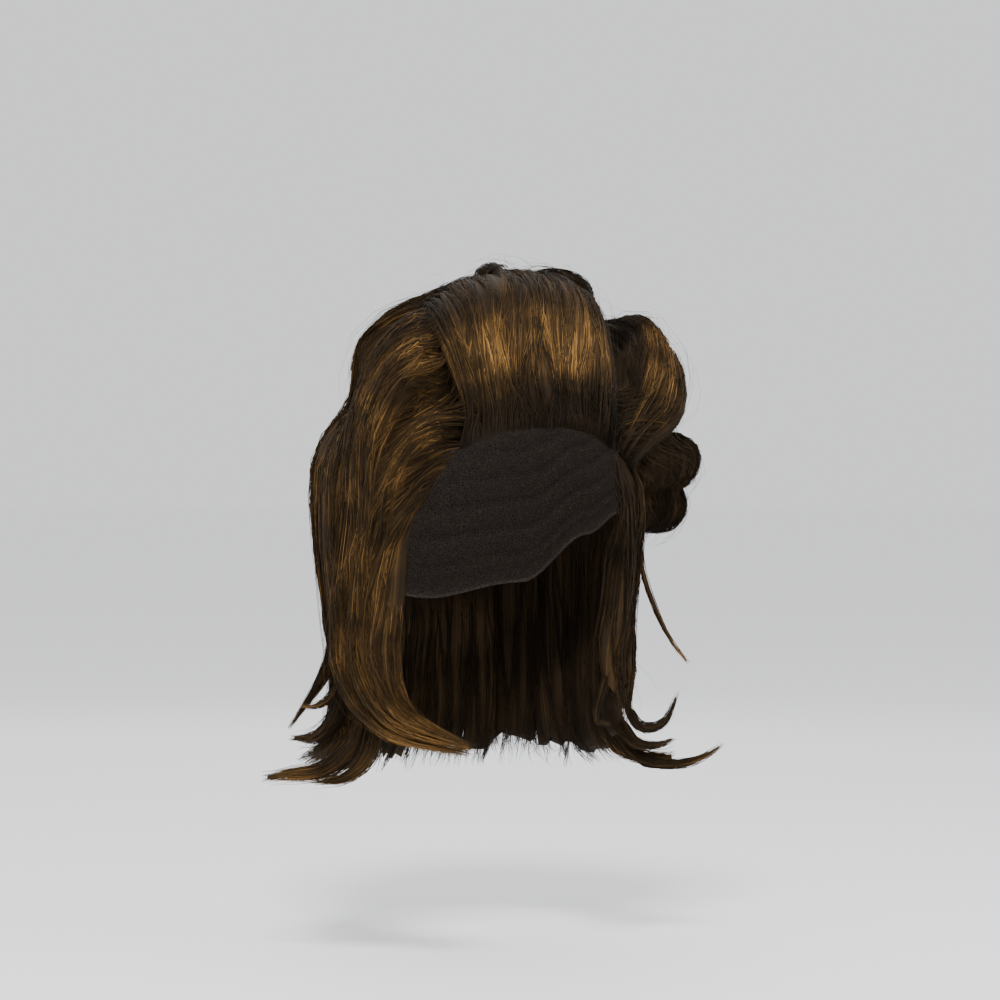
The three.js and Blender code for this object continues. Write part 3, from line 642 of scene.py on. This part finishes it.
def lock_length(sheet, index):
    return 1 - UNEVEN_LENGTH * (1 - sheet["seated"]) * (1 + unevenness(index, sheet["locks"]))


def lock_taper(sheet, along):
    return mix(1, sheet["tip"], smoothstep(along, TAPER_START, 1))


def crest_height(sheet, lock, side, along, taper):
    """How far a lock's rounded back stands above its guides, less where it lies on the cap."""
    loose = smoothstep(along, sheet["seated"], sheet["seated"] + LIFT_OFF) if sheet["seated"] < 1 else 0
    ridge = mix(RIDGE, 1, loose)
    rounded = mix(1 - ridge, taper * (1 - np.clip(side, -1, 1) ** 2), ridge)
    return LOCK_CREST * (rounded + UNEVEN_HEIGHT * ridge * unevenness(lock, 0))


def seat(sheet, across, along):
    """Where a sheet lies on the cap."""
    base = surface(sheet, skin_points)(across, along)
    return base + outward(base) * (HEM_WALL + CAP_CLEARANCE)


def inner_side(sheet, across, along, taper):
    """The inside of a sheet: on the cap where it is seated, and a curtain's wall inwards where it hangs."""
    point, normal = facing(surface(sheet, hair_points), across, along)
    hung = point - normal * (CURTAIN_WALL * taper)[..., None]
    free = smoothstep(along, sheet["seated"], sheet["seated"] + LIFT_OFF)
    return mix(seat(sheet, across, along), hung, free[..., None]), normal


def mesh_piece(name, points, quads, tris, uv, material):
    """A smooth mesh from corner arrays, one UV pair for each corner of each face, quads first."""
    mesh = bpy.data.meshes.new(name)
    corners = np.concatenate([quads.ravel(), tris.ravel()]).astype(np.int32)
    totals = np.concatenate([np.full(len(quads), 4), np.full(len(tris), 3)]).astype(np.int32)
    mesh.vertices.add(len(points))
    mesh.vertices.foreach_set("co", points.astype(np.float32).ravel())
    mesh.loops.add(len(corners))
    mesh.loops.foreach_set("vertex_index", corners)
    mesh.polygons.add(len(totals))
    mesh.polygons.foreach_set("loop_start", np.concatenate([[0], np.cumsum(totals)[:-1]]).astype(np.int32))
    mesh.polygons.foreach_set("loop_total", totals)
    mesh.polygons.foreach_set("use_smooth", np.ones(len(totals), bool))
    layer = mesh.uv_layers.new(name=UV_NAME)
    layer.data.foreach_set("uv", uv.astype(np.float32).ravel())
    mesh.update()
    mesh.validate()
    piece = bpy.data.objects.new(name, mesh)
    bpy.context.scene.collection.objects.link(piece)
    mesh.materials.append(material)
    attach(piece, "root")
    return piece


def tubes(rings):
    """Faces of closed tubes from rings (tubes, steps, sides, 3): quads, end fans and each corner's place."""
    count, steps, sides, _ = rings.shape
    tube, step, side = np.meshgrid(np.arange(count), np.arange(steps - 1), np.arange(sides), indexing="ij")
    base = tube * steps * sides
    after = (side + 1) % sides
    here, ahead = base + step * sides, base + (step + 1) * sides
    quads = np.stack([here + side, here + after, ahead + after, ahead + side], axis=-1).reshape(-1, 4)
    across = np.stack([side, side + 1, side + 1, side], axis=-1).reshape(-1, 4)
    along = np.stack([step, step, step + 1, step + 1], axis=-1).reshape(-1, 4)
    first = np.arange(count)[:, None] * steps * sides
    last = first + (steps - 1) * sides
    fan = np.arange(1, sides - 1)
    start = np.stack([first + 0 * fan, first + fan + 1, first + fan], axis=-1).reshape(-1, 3)
    end = np.stack([last + 0 * fan, last + fan, last + fan + 1], axis=-1).reshape(-1, 3)
    tris = np.concatenate([start, end])
    quad_tube = np.repeat(np.arange(count), (steps - 1) * sides)
    tri_tube = np.tile(np.repeat(np.arange(count), sides - 2), 2)
    return quads, tris, (quad_tube, across, along), tri_tube


def strand_piece(name, paths, normals, radii, tone, along_hair, material):
    """Strands as thin closed tubes along paths (strands, points, 3).

    tone picks a column of the UV map, and along_hair (strands, points) is the place along the hair.
    """
    flow = unit(np.gradient(paths, axis=1))
    side = unit(np.cross(flow, normals))
    up = np.cross(side, flow)
    turn = 2 * math.pi * (np.arange(STRAND_SIDES) + 0.25) / STRAND_SIDES
    ring = side[:, :, None] * np.cos(turn)[:, None] + up[:, :, None] * np.sin(turn)[:, None]
    rings = paths[:, :, None] + ring * radii[:, :, None, None]
    quads, tris, (tube, across, along), tri_tube = tubes(rings)
    column = (np.clip(tone, LEAST_TONE, 1 - LEAST_TONE) * TONES).astype(int)
    u = (column[tube][:, None] + across / STRAND_SIDES) / TONES
    v = along_hair[tube[:, None], along]
    cap_u = (column[tri_tube][:, None] + np.array([0.3, 0.7, 0.5])) / TONES
    ends = np.where(np.arange(len(tris)) < len(tris) // 2, 0, paths.shape[1] - 1)
    cap_v = np.repeat(along_hair[tri_tube, ends][:, None], 3, axis=1) + np.array([0, 0, 0.004])
    uv = np.concatenate([np.stack([u, v], -1).reshape(-1, 2), np.stack([cap_u, cap_v], -1).reshape(-1, 2)])
    uv[:, 1] = np.clip(uv[:, 1], 0, 1)
    return mesh_piece(name, rings.reshape(-1, 3), quads, tris, uv, material)


def body_piece(name, rings, material, outer_sides=None):
    """Closed locks from rings (locks, steps, sides, 3), each with a strip of the UV map of its own."""
    quads, tris, (tube, across, along), tri_tube = tubes(rings)
    count, steps, sides, _ = rings.shape
    u = (tube[:, None] + across / sides) / count
    v = along / (steps - 1)
    if outer_sides:
        # The bodies' insides take the V of the roots, and so their painted shade.
        v = np.where(across.min(axis=1, keepdims=True) >= outer_sides - 1, v * INSIDE_V, v)
    cap_u = (tri_tube[:, None] + np.array([0.2, 0.8, 0.5])) / count
    cap_v = np.repeat(np.where(np.arange(len(tris)) < len(tris) // 2, 0.003, 0.997)[:, None], 3, axis=1)
    uv = np.concatenate([np.stack([u, v], -1).reshape(-1, 2), np.stack([cap_u, cap_v], -1).reshape(-1, 2)])
    return mesh_piece(name, rings.reshape(-1, 3), quads, tris, uv, material)


def sheet_body(sheet, seed, material):
    """The dark body of a sheet: its locks, combed into fine ridges, just under the strands."""
    rng = np.random.default_rng(BODY_SEED + seed)
    steps, outer_sides, inner_sides = 36, 15, 6
    locks = np.arange(sheet["locks"])[:, None, None]
    share = np.linspace(0, 1, steps)[None, :, None]
    hanging = sheet["seated"] < 1
    length = lock_length(sheet, locks) - (BODY_SHORT if hanging else 0)
    taper = np.maximum(lock_taper(sheet, share), BODY_TIP)
    half = 0.5 / sheet["locks"] * OVERLAP * taper

    def places(side):
        """Shares across and along the sheet, for streaks that end unevenly."""
        ragged = RAGGED * rng.random((sheet["locks"], 1, side.size)) * smoothstep(share, TAPER_START, 1)
        across = np.clip((locks + 0.5) / sheet["locks"] + side * half, 0, 1)
        return np.broadcast_arrays(across, length * share * (1 - ragged))

    side = np.linspace(-1, 1, outer_sides)[None, None, :]
    here, there = places(side)
    point, normal = facing(surface(sheet, hair_points), here, there)
    comb = rng.normal(0, OUTER_COMB, (sheet["locks"], 1, outer_sides))
    crest = crest_height(sheet, locks, side, there, taper) - BODY_BELOW + comb
    outer = point + normal * crest[..., None]
    if hanging:
        outer = mix(seat(sheet, here, there), outer, smoothstep(there, *ROOT_RISE)[..., None])
    else:
        outer = off_cap(outer, 4 * CAP_CLEARANCE)

    here, there = places(np.linspace(INSIDE_WIDTH, -INSIDE_WIDTH, inner_sides)[None, None, :])
    thinning = 1 - TIP_THINNING * smoothstep(share, TAPER_START, 1)
    depth = np.broadcast_to(taper * thinning, here.shape) * INSIDE_DEPTH
    inner, normal = inner_side(sheet, here, there, depth)
    comb = rng.normal(0, INNER_COMB, (sheet["locks"], 1, inner_sides))
    comb = comb * smoothstep(there, sheet["seated"], sheet["seated"] + LIFT_OFF)
    inner = inner + normal * comb[..., None]
    rings = np.concatenate([outer, off_cap(inner, CAP_CLEARANCE)], axis=2)
    return body_piece(sheet["name"] + "_body", rings, material, outer_sides)


def tones(rng, gold, key):
    """The tone of each strand around the average gold, alike within a bundle."""
    return gold + rng.normal(0, BUNDLE_TONE, BUNDLES)[key] + rng.normal(0, STRAND_TONE, len(key))


def strand_radii(rng, count, points, scale=1.0):
    share = np.linspace(0, 1, points)
    profile = np.minimum(1, 0.55 + 3 * share) * np.sqrt(np.clip(1.02 - share, 0, 1))
    size = STRAND_RADIUS * scale * rng.uniform(0.6, 1.3, (count, 1))
    return size * np.maximum(profile, 0.12)


def sheet_strands(sheet, seed, material):
    """The strands of a sheet, in bundles that follow its locks, with some that stray from it."""
    rng = np.random.default_rng(STRAND_SEED + seed)
    hanging = sheet["seated"] < 1
    count = sheet["strands"]
    points = LONG_POINTS if len(sheet["guides"][0]["level"]) == 7 else SHORT_POINTS
    hair = surface(sheet, hair_points)
    kind = rng.random(count)
    edge = kind < EDGE_SHARE
    inside = (kind > 1 - INSIDE_SHARE) & hanging
    astray = (rng.random(count) < FLYAWAY_SHARE) & ~inside
    crossing = (rng.random(count) < CROSSING_SHARE) & ~inside & ~astray

    lock = rng.permutation(np.arange(count) % sheet["locks"])
    right = rng.random(count) < 0.5
    lock = np.where(edge, np.where(right, sheet["locks"] - 1, 0), lock)
    outermost = np.where(right, 1.0, -1.0) * rng.uniform(0.9, 1.1, count)
    side = np.where(edge, outermost, rng.uniform(-1.05, 1.05, count))
    bundle = np.round(side * CLUMPS / 2)
    key = (lock * 31 + bundle).astype(int) % BUNDLES
    drift = rng.normal(0, 0.12, BUNDLES)[key]
    swing = rng.normal(0, SWAY * sheet.get("sway", 1), BUNDLES)[key][:, None]
    phase = rng.random(BUNDLES)[key][:, None]

    late = (rng.random(count) < LATE_SHARE) & ~edge
    start = np.where(late, rng.uniform(0.0, 0.5 if hanging else 0.7, count), 0)
    start = np.where(inside, sheet["seated"] - 0.02 + rng.uniform(0, 0.25, count), start)
    short = (rng.random(count) < SHORT_SHARE) & hanging & ~edge
    start = np.where(short, rng.uniform(0.55, 0.8, count), start)
    end = 1 - rng.random(count) ** 2 * (0.14 if hanging else 0.3)
    end = end * np.where(short, 1, lock_length(sheet, lock))
    end = np.maximum(end, start + 0.15)
    share = np.linspace(0, 1, points)[None, :]
    along = np.minimum(mix(start[:, None], end[:, None], share), 1)

    filling = np.where(short, rng.uniform(0.4, 1.1, count), rng.uniform(0, 0.8 if hanging else 0.3, count))
    taper = mix(lock_taper(sheet, along), 1, filling[:, None])
    gather = (0.7 if hanging else 0.4) * smoothstep(share, 0.1, 1)
    place = mix(side[:, None], (bundle * 2 / CLUMPS + drift)[:, None], np.where(edge[:, None], 0, gather))
    wander = rng.normal(0, 0.08, (count, 1)) * np.sin(2 * math.pi * (share * 1.3 + rng.random((count, 1))))
    wander = wander + swing * smoothstep(along, 0, 0.3) * np.sin(2 * math.pi * (along * 1.2 + phase))
    sideways = crossing[:, None] * rng.normal(0, 1.3, (count, 1)) * share
    place = place + wander + sideways
    across = (lock[:, None] + 0.5) / sheet["locks"] + 0.5 / sheet["locks"] * taper * place
    across = np.clip(across, 0, 1)
    point, normal = facing(hair, across, along)

    crest = crest_height(sheet, lock[:, None], place, along, taper)
    swell = SWELL * (1 - np.clip((place - (bundle * 2 / CLUMPS)[:, None]) * CLUMPS / 1.2, -1, 1) ** 2)
    depth = rng.exponential(SUNK, (count, 1)) * ~(astray | crossing)[:, None]
    rooted = LATE_DEPTH * (1 - smoothstep(share, 0, 0.16)) * late[:, None]
    ripple = RIPPLE * np.sin(2 * math.pi * (share * rng.uniform(1, 2.4, (count, 1)) + rng.random((count, 1))))
    stray = astray[:, None] * rng.exponential(FLYAWAY_LIFT, (count, 1)) * smoothstep(share, 0.1, 0.9)
    height = crest + swell - depth - rooted + ripple + np.minimum(stray, FLYAWAY_LIMIT)
    height = height + RIPPLE * crossing[:, None]
    outer = point + normal * height[..., None]

    inner, _ = inner_side(sheet, across, along, taper)
    through_wall = np.where(inside[:, None], 1, edge[:, None] * rng.uniform(0, 0.95, (count, 1)))
    left_half = across < 0.5
    beyond = unit(hair(np.where(left_half, 0.0, 1.0), along) - hair(np.where(left_half, 0.04, 0.96), along))
    paths = mix(outer, inner, through_wall[..., None])
    if hanging:
        paths = mix(seat(sheet, across, along), paths, smoothstep(along, *ROOT_RISE)[..., None])
    paths = paths - normal * (inside[:, None] * rng.uniform(-0.0002, 0.0012, (count, 1)))[..., None]
    paths = paths + beyond * (edge[:, None] * rng.exponential(0.0006, (count, 1)))[..., None]
    bend = rng.normal(0, 1, (count, 1, 3)) * (0.0005 + 0.003 * astray[:, None, None]) * (share**2)[..., None]
    paths = off_cap(paths + bend, CAP_CLEARANCE)

    thin = np.where(astray | crossing, 0.5, 1)
    radii = strand_radii(rng, count, points) * thin[:, None]
    tone = tones(rng, sheet["gold"], key) + 0.2 * crossing
    # Painted light and shade across the sheet scales each strand's tone.
    places, shares = zip(*PAINTED_LIGHT_ACROSS.get(sheet["name"], EVEN))
    # Strands on the inside of hanging hair get half the tone, as painted shade.
    tone = tone * np.interp(across[:, points // 2], places, shares) * np.where(inside, 0.5, 1)
    return strand_piece(sheet["name"] + "_strands", paths, normal, radii, tone, along, material)


def outer_side(pieces):
    """One search tree of all the pieces' faces."""
    corners, faces = [], []
    for piece in pieces:
        first = len(corners)
        corners.extend(vertex.co.copy() for vertex in piece.data.vertices)
        faces.extend([first + i for i in polygon.vertices] for polygon in piece.data.polygons)
    return BVHTree.FromPolygons(corners, faces)


def heights_over(tree, base, out):
    """How far out the hair or the cap reaches over each base point (strands, points, 3)."""
    heights = np.full(base.shape[:2], np.nan)
    for place in np.ndindex(heights.shape):
        start = base[place] + out[place] * REACH
        _, _, _, distance = tree.ray_cast(Vector(start), Vector(-out[place]), REACH)
        if distance is not None:
            heights[place] = REACH - distance
    return heights


def veil_strands(veil, seed, tree, material):
    """Strands drawn over the hair from one sheet to the next, spanning the hollows between them."""
    rng = np.random.default_rng(VEIL_SEED + seed)
    count, points, fine = veil["strands"], SHORT_POINTS + 1, 22
    rows = [{**row, "lift": [0] * len(row["level"])} for row in veil["guides"]]
    skin = surface({"guides": rows}, hair_points)
    place = rng.random((count, 1))
    key = (place[:, 0] * 8 * (len(rows) - 1)).astype(int)
    phase = rng.random(BUNDLES)[key][:, None]
    start = rng.random((count, 1)) ** 2 * 0.3
    end = 1 - rng.random((count, 1)) ** 1.5 * 0.4
    share = np.linspace(0, 1, fine)[None, :]
    along = mix(start, end, share)
    lean = rng.normal(0, veil["spread"], (count, 1)) * share
    swing = 0.5 * veil["spread"] * np.sin(2 * math.pi * (along * 1.3 + phase))
    across = np.clip(place + lean + swing, 0, 1)
    base = skin(across, along)
    out = outward(base)
    heights = heights_over(tree, base, out)
    for row in heights:
        known = np.isfinite(row)
        row[:] = np.interp(share[0], share[0][known], row[known]) if known.any() else HEM_WALL
    for _ in range(fine):
        spanned = 0.5 * (heights[:, :-2] + heights[:, 2:]) - veil.get("sag", VEIL_SAG)
        heights[:, 1:-1] = np.maximum(heights[:, 1:-1], spanned)
    tucked = VEIL_TUCK * (1 - smoothstep(share, 0, 0.14)) * (start > 0.06)
    sunk = VEIL_END * smoothstep(share, 0.8, 1) * (rng.random((count, 1)) < 0.6)
    above = VEIL_ABOVE * rng.uniform(0.3, 1.3, (count, 1)) - tucked - sunk
    paths = base + out * (heights + above)[..., None]
    taken = np.linspace(0, fine - 1, points).round().astype(int)
    paths = off_cap(paths[:, taken], CAP_CLEARANCE)
    tone = tones(rng, veil["gold"], key)
    radii = strand_radii(rng, count, points, 0.9)
    return strand_piece(veil["name"], paths, out[:, taken], radii, tone, along[:, taken], material)


def lock_frames(lock, along):
    """Points along a free lock with its side and upward directions, turned as little as possible."""
    points = hair_points(lock)[:, None, :]
    centre = through(points, along)
    flow = unit(np.gradient(centre, axis=0))
    normal = np.empty_like(flow)
    kept = outward(centre[:1])[0]
    for i, direction in enumerate(flow):
        kept = kept - direction * np.dot(kept, direction)
        kept = kept / np.linalg.norm(kept)
        normal[i] = kept
    return centre, np.cross(flow, normal), normal


def lock_size(lock, along):
    tapered = mix(1, lock["tip"], smoothstep(along, FREE_TAPER_START, 1))
    return tapered * mix(ROOT_SHARE, 1, smoothstep(along, 0, ROOT_END)) * FLICK_WIDTH * 0.5


def lock_body(lock, seed, material):
    rng = np.random.default_rng(LOCK_BODY_SEED + seed)
    steps, sides = 30, 12
    along = np.linspace(0, 0.94, steps)
    centre, side, normal = lock_frames(lock, along)
    turn = 2 * math.pi * np.arange(sides) / sides
    size = lock_size(lock, along)[:, None, None] * (0.75 + rng.normal(0, 0.06, (1, sides, 1)))
    ring = (
        side[:, None] * np.cos(turn)[None, :, None] * lock["width"]
        + normal[:, None] * np.sin(turn)[None, :, None] * lock["depth"]
    )
    rings = centre[:, None] + ring * size
    return body_piece(lock["name"] + "_body", rings[None], material)


def lock_strands(lock, seed, material):
    rng = np.random.default_rng(LOCK_STRAND_SEED + seed)
    count, points = lock["strands"], SHORT_POINTS + 1
    start = rng.random(count) * 0.15
    end = 1 - rng.random(count) ** 1.5 * 0.22
    share = np.linspace(0, 1, points)[None, :]
    along = mix(start[:, None], end[:, None], share)
    fine = np.linspace(0, 1, 60)
    centre, side, normal = lock_frames(lock, fine)

    def sampled(values):
        return np.stack([np.interp(along, fine, values[:, k]) for k in range(3)], axis=-1)

    middle, across, up = sampled(centre), unit(sampled(side)), unit(sampled(normal))
    turn = rng.uniform(0, 2 * math.pi, (count, 1))
    reach = np.sqrt(rng.uniform(0.35, 1.15, (count, 1)))
    size = lock_size(lock, along)
    splay = 1 + rng.exponential(0.8, (count, 1)) * along**4
    ripple = 0.0004 * np.sin(2 * math.pi * (along * 1.5 + rng.random((count, 1))))
    x = (np.cos(turn) * lock["width"] * reach * size * splay + ripple)[..., None]
    y = (np.sin(turn) * lock["depth"] * reach * size * splay + ripple)[..., None]
    paths = middle + across * x + up * y
    radii = strand_radii(rng, count, points, 0.9)
    tone = lock["gold"] + rng.normal(0, 0.2, count)
    return strand_piece(lock["name"] + "_strands", paths, up, radii, tone, along, material)


def cap_piece(material):
    """The net cap as a wall with a turned hem and rows of sewn wefts inside."""
    columns, rows = 120, 78
    azimuth = 360 * np.arange(columns) / columns
    hem = HEM_WIDTH / (CROWN_HEIGHT + 0.5 * HEAD_LENGTH)
    share = np.linspace(0.02, 1, rows)[:, None]
    level = mix(1, edge_level(azimuth)[None, :], share)
    points = on_head(azimuth[None, :], level, HEAD_TUCK)
    out = outward(points)
    in_hem = smoothstep(share, 1 - 1.25 * hem, 1 - 1.15 * hem)
    weft = 0.0008 * np.maximum(0, np.cos(2 * math.pi * share * WEFT_ROWS)) ** 4 * (1 - in_hem)
    rolled = 0.0006 * np.sin(math.pi * np.clip((share - 1 + 1.15 * hem) / (1.15 * hem), 0, 1)) ** 0.5
    inner = points + out * (0.0009 - weft - rolled * in_hem)[..., None]
    outer = points + out * mix(CAP_WALL, HEM_WALL, in_hem)[..., None]
    rings = np.concatenate([inner, outer[::-1]])
    return body_piece("cap_net", rings[None], material)


def node_of(tree, kind, **settings):
    node = tree.nodes.new(kind)
    for key, value in settings.items():
        setattr(node, key, value)
    return node


def new_material(name):
    material = bpy.data.materials.new(name)
    material.use_nodes = True
    tree = material.node_tree
    return material, tree, tree.nodes["Principled BSDF"]


def uv_split(tree):
    uv = node_of(tree, "ShaderNodeUVMap", uv_map=UV_NAME)
    split = node_of(tree, "ShaderNodeSeparateXYZ")
    tree.links.new(uv.outputs["UV"], split.inputs[0])
    return split


def streaks(tree, across, along, detail):
    """Noise drawn out along the hair: across and along are its scales over the UV map."""
    uv = node_of(tree, "ShaderNodeUVMap", uv_map=UV_NAME)
    scale = node_of(tree, "ShaderNodeVectorMath", operation="MULTIPLY")
    scale.inputs[1].default_value = (across, along, 1)
    noise = node_of(tree, "ShaderNodeTexNoise")
    noise.inputs["Scale"].default_value = 1
    noise.inputs["Detail"].default_value = detail
    tree.links.new(uv.outputs["UV"], scale.inputs[0])
    tree.links.new(scale.outputs[0], noise.inputs["Vector"])
    return noise.outputs["Fac"]


def ramp(tree, factor, stops):
    node = node_of(tree, "ShaderNodeValToRGB")
    elements = node.color_ramp.elements
    elements[0].position, elements[0].color = stops[0][0], (*stops[0][1], 1)
    elements[1].position, elements[1].color = stops[-1][0], (*stops[-1][1], 1)
    for position, colour in stops[1:-1]:
        elements.new(position).color = (*colour, 1)
    tree.links.new(factor, node.inputs["Fac"])
    return node.outputs["Color"]


def grey(stops):
    return [(position, (value,) * 3) for position, value in stops]


def scaled_colour(tree, colour, factor):
    node = node_of(tree, "ShaderNodeMix", data_type="RGBA", blend_type="MULTIPLY")
    node.inputs["Factor"].default_value = 1
    tree.links.new(colour, node.inputs["A"])
    tree.links.new(factor, node.inputs["B"])
    return node.outputs["Result"]


def hair_colour(tree, tone, lit):
    """Dark brown hair that turns golden where painted light falls, in broad soft patches: the golden is
    partly the hair's own streaks and partly painted highlight.
    """
    lit = scaled_colour(tree, lit, painted_light_patches(tree, PATCH_SIZE))
    node = node_of(tree, "ShaderNodeMix", data_type="RGBA")
    tree.links.new(lit, node.inputs["Factor"])
    # Ramp A holds the hair's tones in painted shade, ramp B the same tones under painted light, up to GOLD.
    tree.links.new(ramp(tree, tone, [(0.1, DARK), (0.7, BROWN)]), node.inputs["A"])
    tree.links.new(ramp(tree, tone, [(0.1, BROWN), (0.5, UMBER), (0.85, GOLD)]), node.inputs["B"])
    return node.outputs["Result"]


def painted_light_patches(tree, size):
    """Soft variation over the object, in patches of about the given size, which varies the painted light."""
    place = node_of(tree, "ShaderNodeTexCoord")
    noise = node_of(tree, "ShaderNodeTexNoise")
    noise.inputs["Scale"].default_value = 1 / size
    noise.inputs["Detail"].default_value = 2
    tree.links.new(place.outputs["Object"], noise.inputs["Vector"])
    return ramp(tree, noise.outputs["Fac"], grey([(0.38, 0.45), (0.62, 1.4)]))


def hair_shader(shader, roughness, gloss):
    shader.inputs["Roughness"].default_value = roughness
    shader.inputs["Specular IOR Level"].default_value = gloss
    shader.inputs["Specular Tint"].default_value = SHEEN


def strand_material(name, shade):
    """Strands: tone by their UV column, painted light and shade by their place along the hair, and a patchy
    variation.
    """
    material, tree, shader = new_material(name)
    split = uv_split(tree)
    colour = hair_colour(tree, split.outputs["X"], ramp(tree, split.outputs["Y"], grey(shade)))
    tree.links.new(colour, shader.inputs["Base Color"])
    hair_shader(shader, 0.55, 0.08)
    return material


def body_material(name, shade, painted_light_across):
    """Bodies: fine streaks along the hair, in the same tones and painted light and shade as the strands over
    them.
    """
    material, tree, shader = new_material(name)
    split = uv_split(tree)
    streak = streaks(tree, STREAKS_ACROSS, STREAKS_ALONG, 3)
    along = ramp(tree, split.outputs["Y"], grey(shade))
    across = ramp(tree, split.outputs["X"], grey(painted_light_across))
    lit = scaled_colour(tree, along, across)
    tree.links.new(hair_colour(tree, streak, lit), shader.inputs["Base Color"])
    bump = node_of(tree, "ShaderNodeBump")
    bump.inputs["Strength"].default_value = 0.7
    bump.inputs["Distance"].default_value = 0.0006
    tree.links.new(streak, bump.inputs["Height"])
    tree.links.new(bump.outputs["Normal"], shader.inputs["Normal"])
    hair_shader(shader, 0.65, 0.06)
    return material


def cap_material():
    material, tree, shader = new_material("cap_net")
    place = node_of(tree, "ShaderNodeTexCoord")
    net = node_of(tree, "ShaderNodeTexVoronoi", feature="DISTANCE_TO_EDGE")
    net.inputs["Scale"].default_value = NET_SCALE
    tree.links.new(place.outputs["Object"], net.inputs["Vector"])
    colour = ramp(tree, net.outputs["Distance"], [(0.02, NET_THREAD), (0.2, NET_HOLE)])
    tree.links.new(colour, shader.inputs["Base Color"])
    bump = node_of(tree, "ShaderNodeBump", invert=True)
    bump.inputs["Strength"].default_value = 0.8
    bump.inputs["Distance"].default_value = 0.0004
    tree.links.new(net.outputs["Distance"], bump.inputs["Height"])
    tree.links.new(bump.outputs["Normal"], shader.inputs["Normal"])
    shader.inputs["Roughness"].default_value = 0.85
    return material


def floor_material():
    material, _, shader = new_material("studio_floor")
    shader.inputs["Base Color"].default_value = FLOOR_COLOUR
    shader.inputs["Roughness"].default_value = 0.9
    return material


def area_light(name, place, size, power):
    light = bpy.data.lights.new(name, "AREA")
    light.shape = "DISK"
    light.size = size
    light.energy = power
    lamp = bpy.data.objects.new(name, light)
    bpy.context.scene.collection.objects.link(lamp)
    lamp.location = place
    lamp.rotation_euler = (Vector(LIGHT_AIM) - Vector(place)).to_track_quat("-Z", "Y").to_euler()


def studio():
    bpy.ops.mesh.primitive_plane_add(size=FLOOR_SIZE, location=(0, 0, FLOOR_HEIGHT))
    floor = bpy.context.object
    floor.name = "studio_floor"
    floor.data.materials.append(floor_material())
    world = bpy.data.worlds.new("studio")
    bpy.context.scene.world = world
    world.use_nodes = True
    sky = world.node_tree.nodes["Background"]
    sky.inputs["Color"].default_value = SKY_COLOUR
    sky.inputs["Strength"].default_value = SKY_STRENGTH
    for light in LIGHTS:
        area_light(**light)


def camera():
    data = bpy.data.cameras.new("camera")
    data.sensor_fit = "HORIZONTAL"
    data.angle = 2 * math.atan(VIEW_WIDTH / 2 / CAMERA_DISTANCE)
    lens = bpy.data.objects.new("camera", data)
    bpy.context.scene.collection.objects.link(lens)
    turn = math.radians(CAMERA_AZIMUTH)
    away = Vector((math.sin(turn), -math.cos(turn), 0))
    lens.location = Vector(CAMERA_AIM) + away * CAMERA_DISTANCE
    lens.rotation_euler = (-away).to_track_quat("-Z", "Y").to_euler()
    bpy.context.scene.camera = lens


camera()
studio()

bodies = []
for index, sheet in enumerate(SHEETS):
    shade = PAINTED_LIGHT_ALONG[sheet["name"]]
    under = body_material("under_" + sheet["name"], shade, PAINTED_LIGHT_ACROSS.get(sheet["name"], EVEN))
    body = sheet_body(sheet, index, under)
    strands = sheet_strands(sheet, index, strand_material("strands_" + sheet["name"], shade))
    bodies.append((body, strands, sheet["name"]))
lock_under = body_material("under_locks", PAINTED_LIGHT_ALONG["locks"], EVEN)
lock_paint = strand_material("strands_locks", PAINTED_LIGHT_ALONG["locks"])
for index, lock in enumerate(LOCKS):
    bodies.append((lock_body(lock, index, lock_under), lock_strands(lock, index, lock_paint), lock["name"]))
for body, strands, node in bodies:
    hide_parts(node)
cap = cap_piece(cap_material())
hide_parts("cap")

model = outer_side([cap] + [body for body, _, _ in bodies])
veil_paint = strand_material("strands_veils", PAINTED_LIGHT_ALONG["veils"])
for index, veil in enumerate(VEILS):
    veil_strands(veil, index, model, veil_paint)
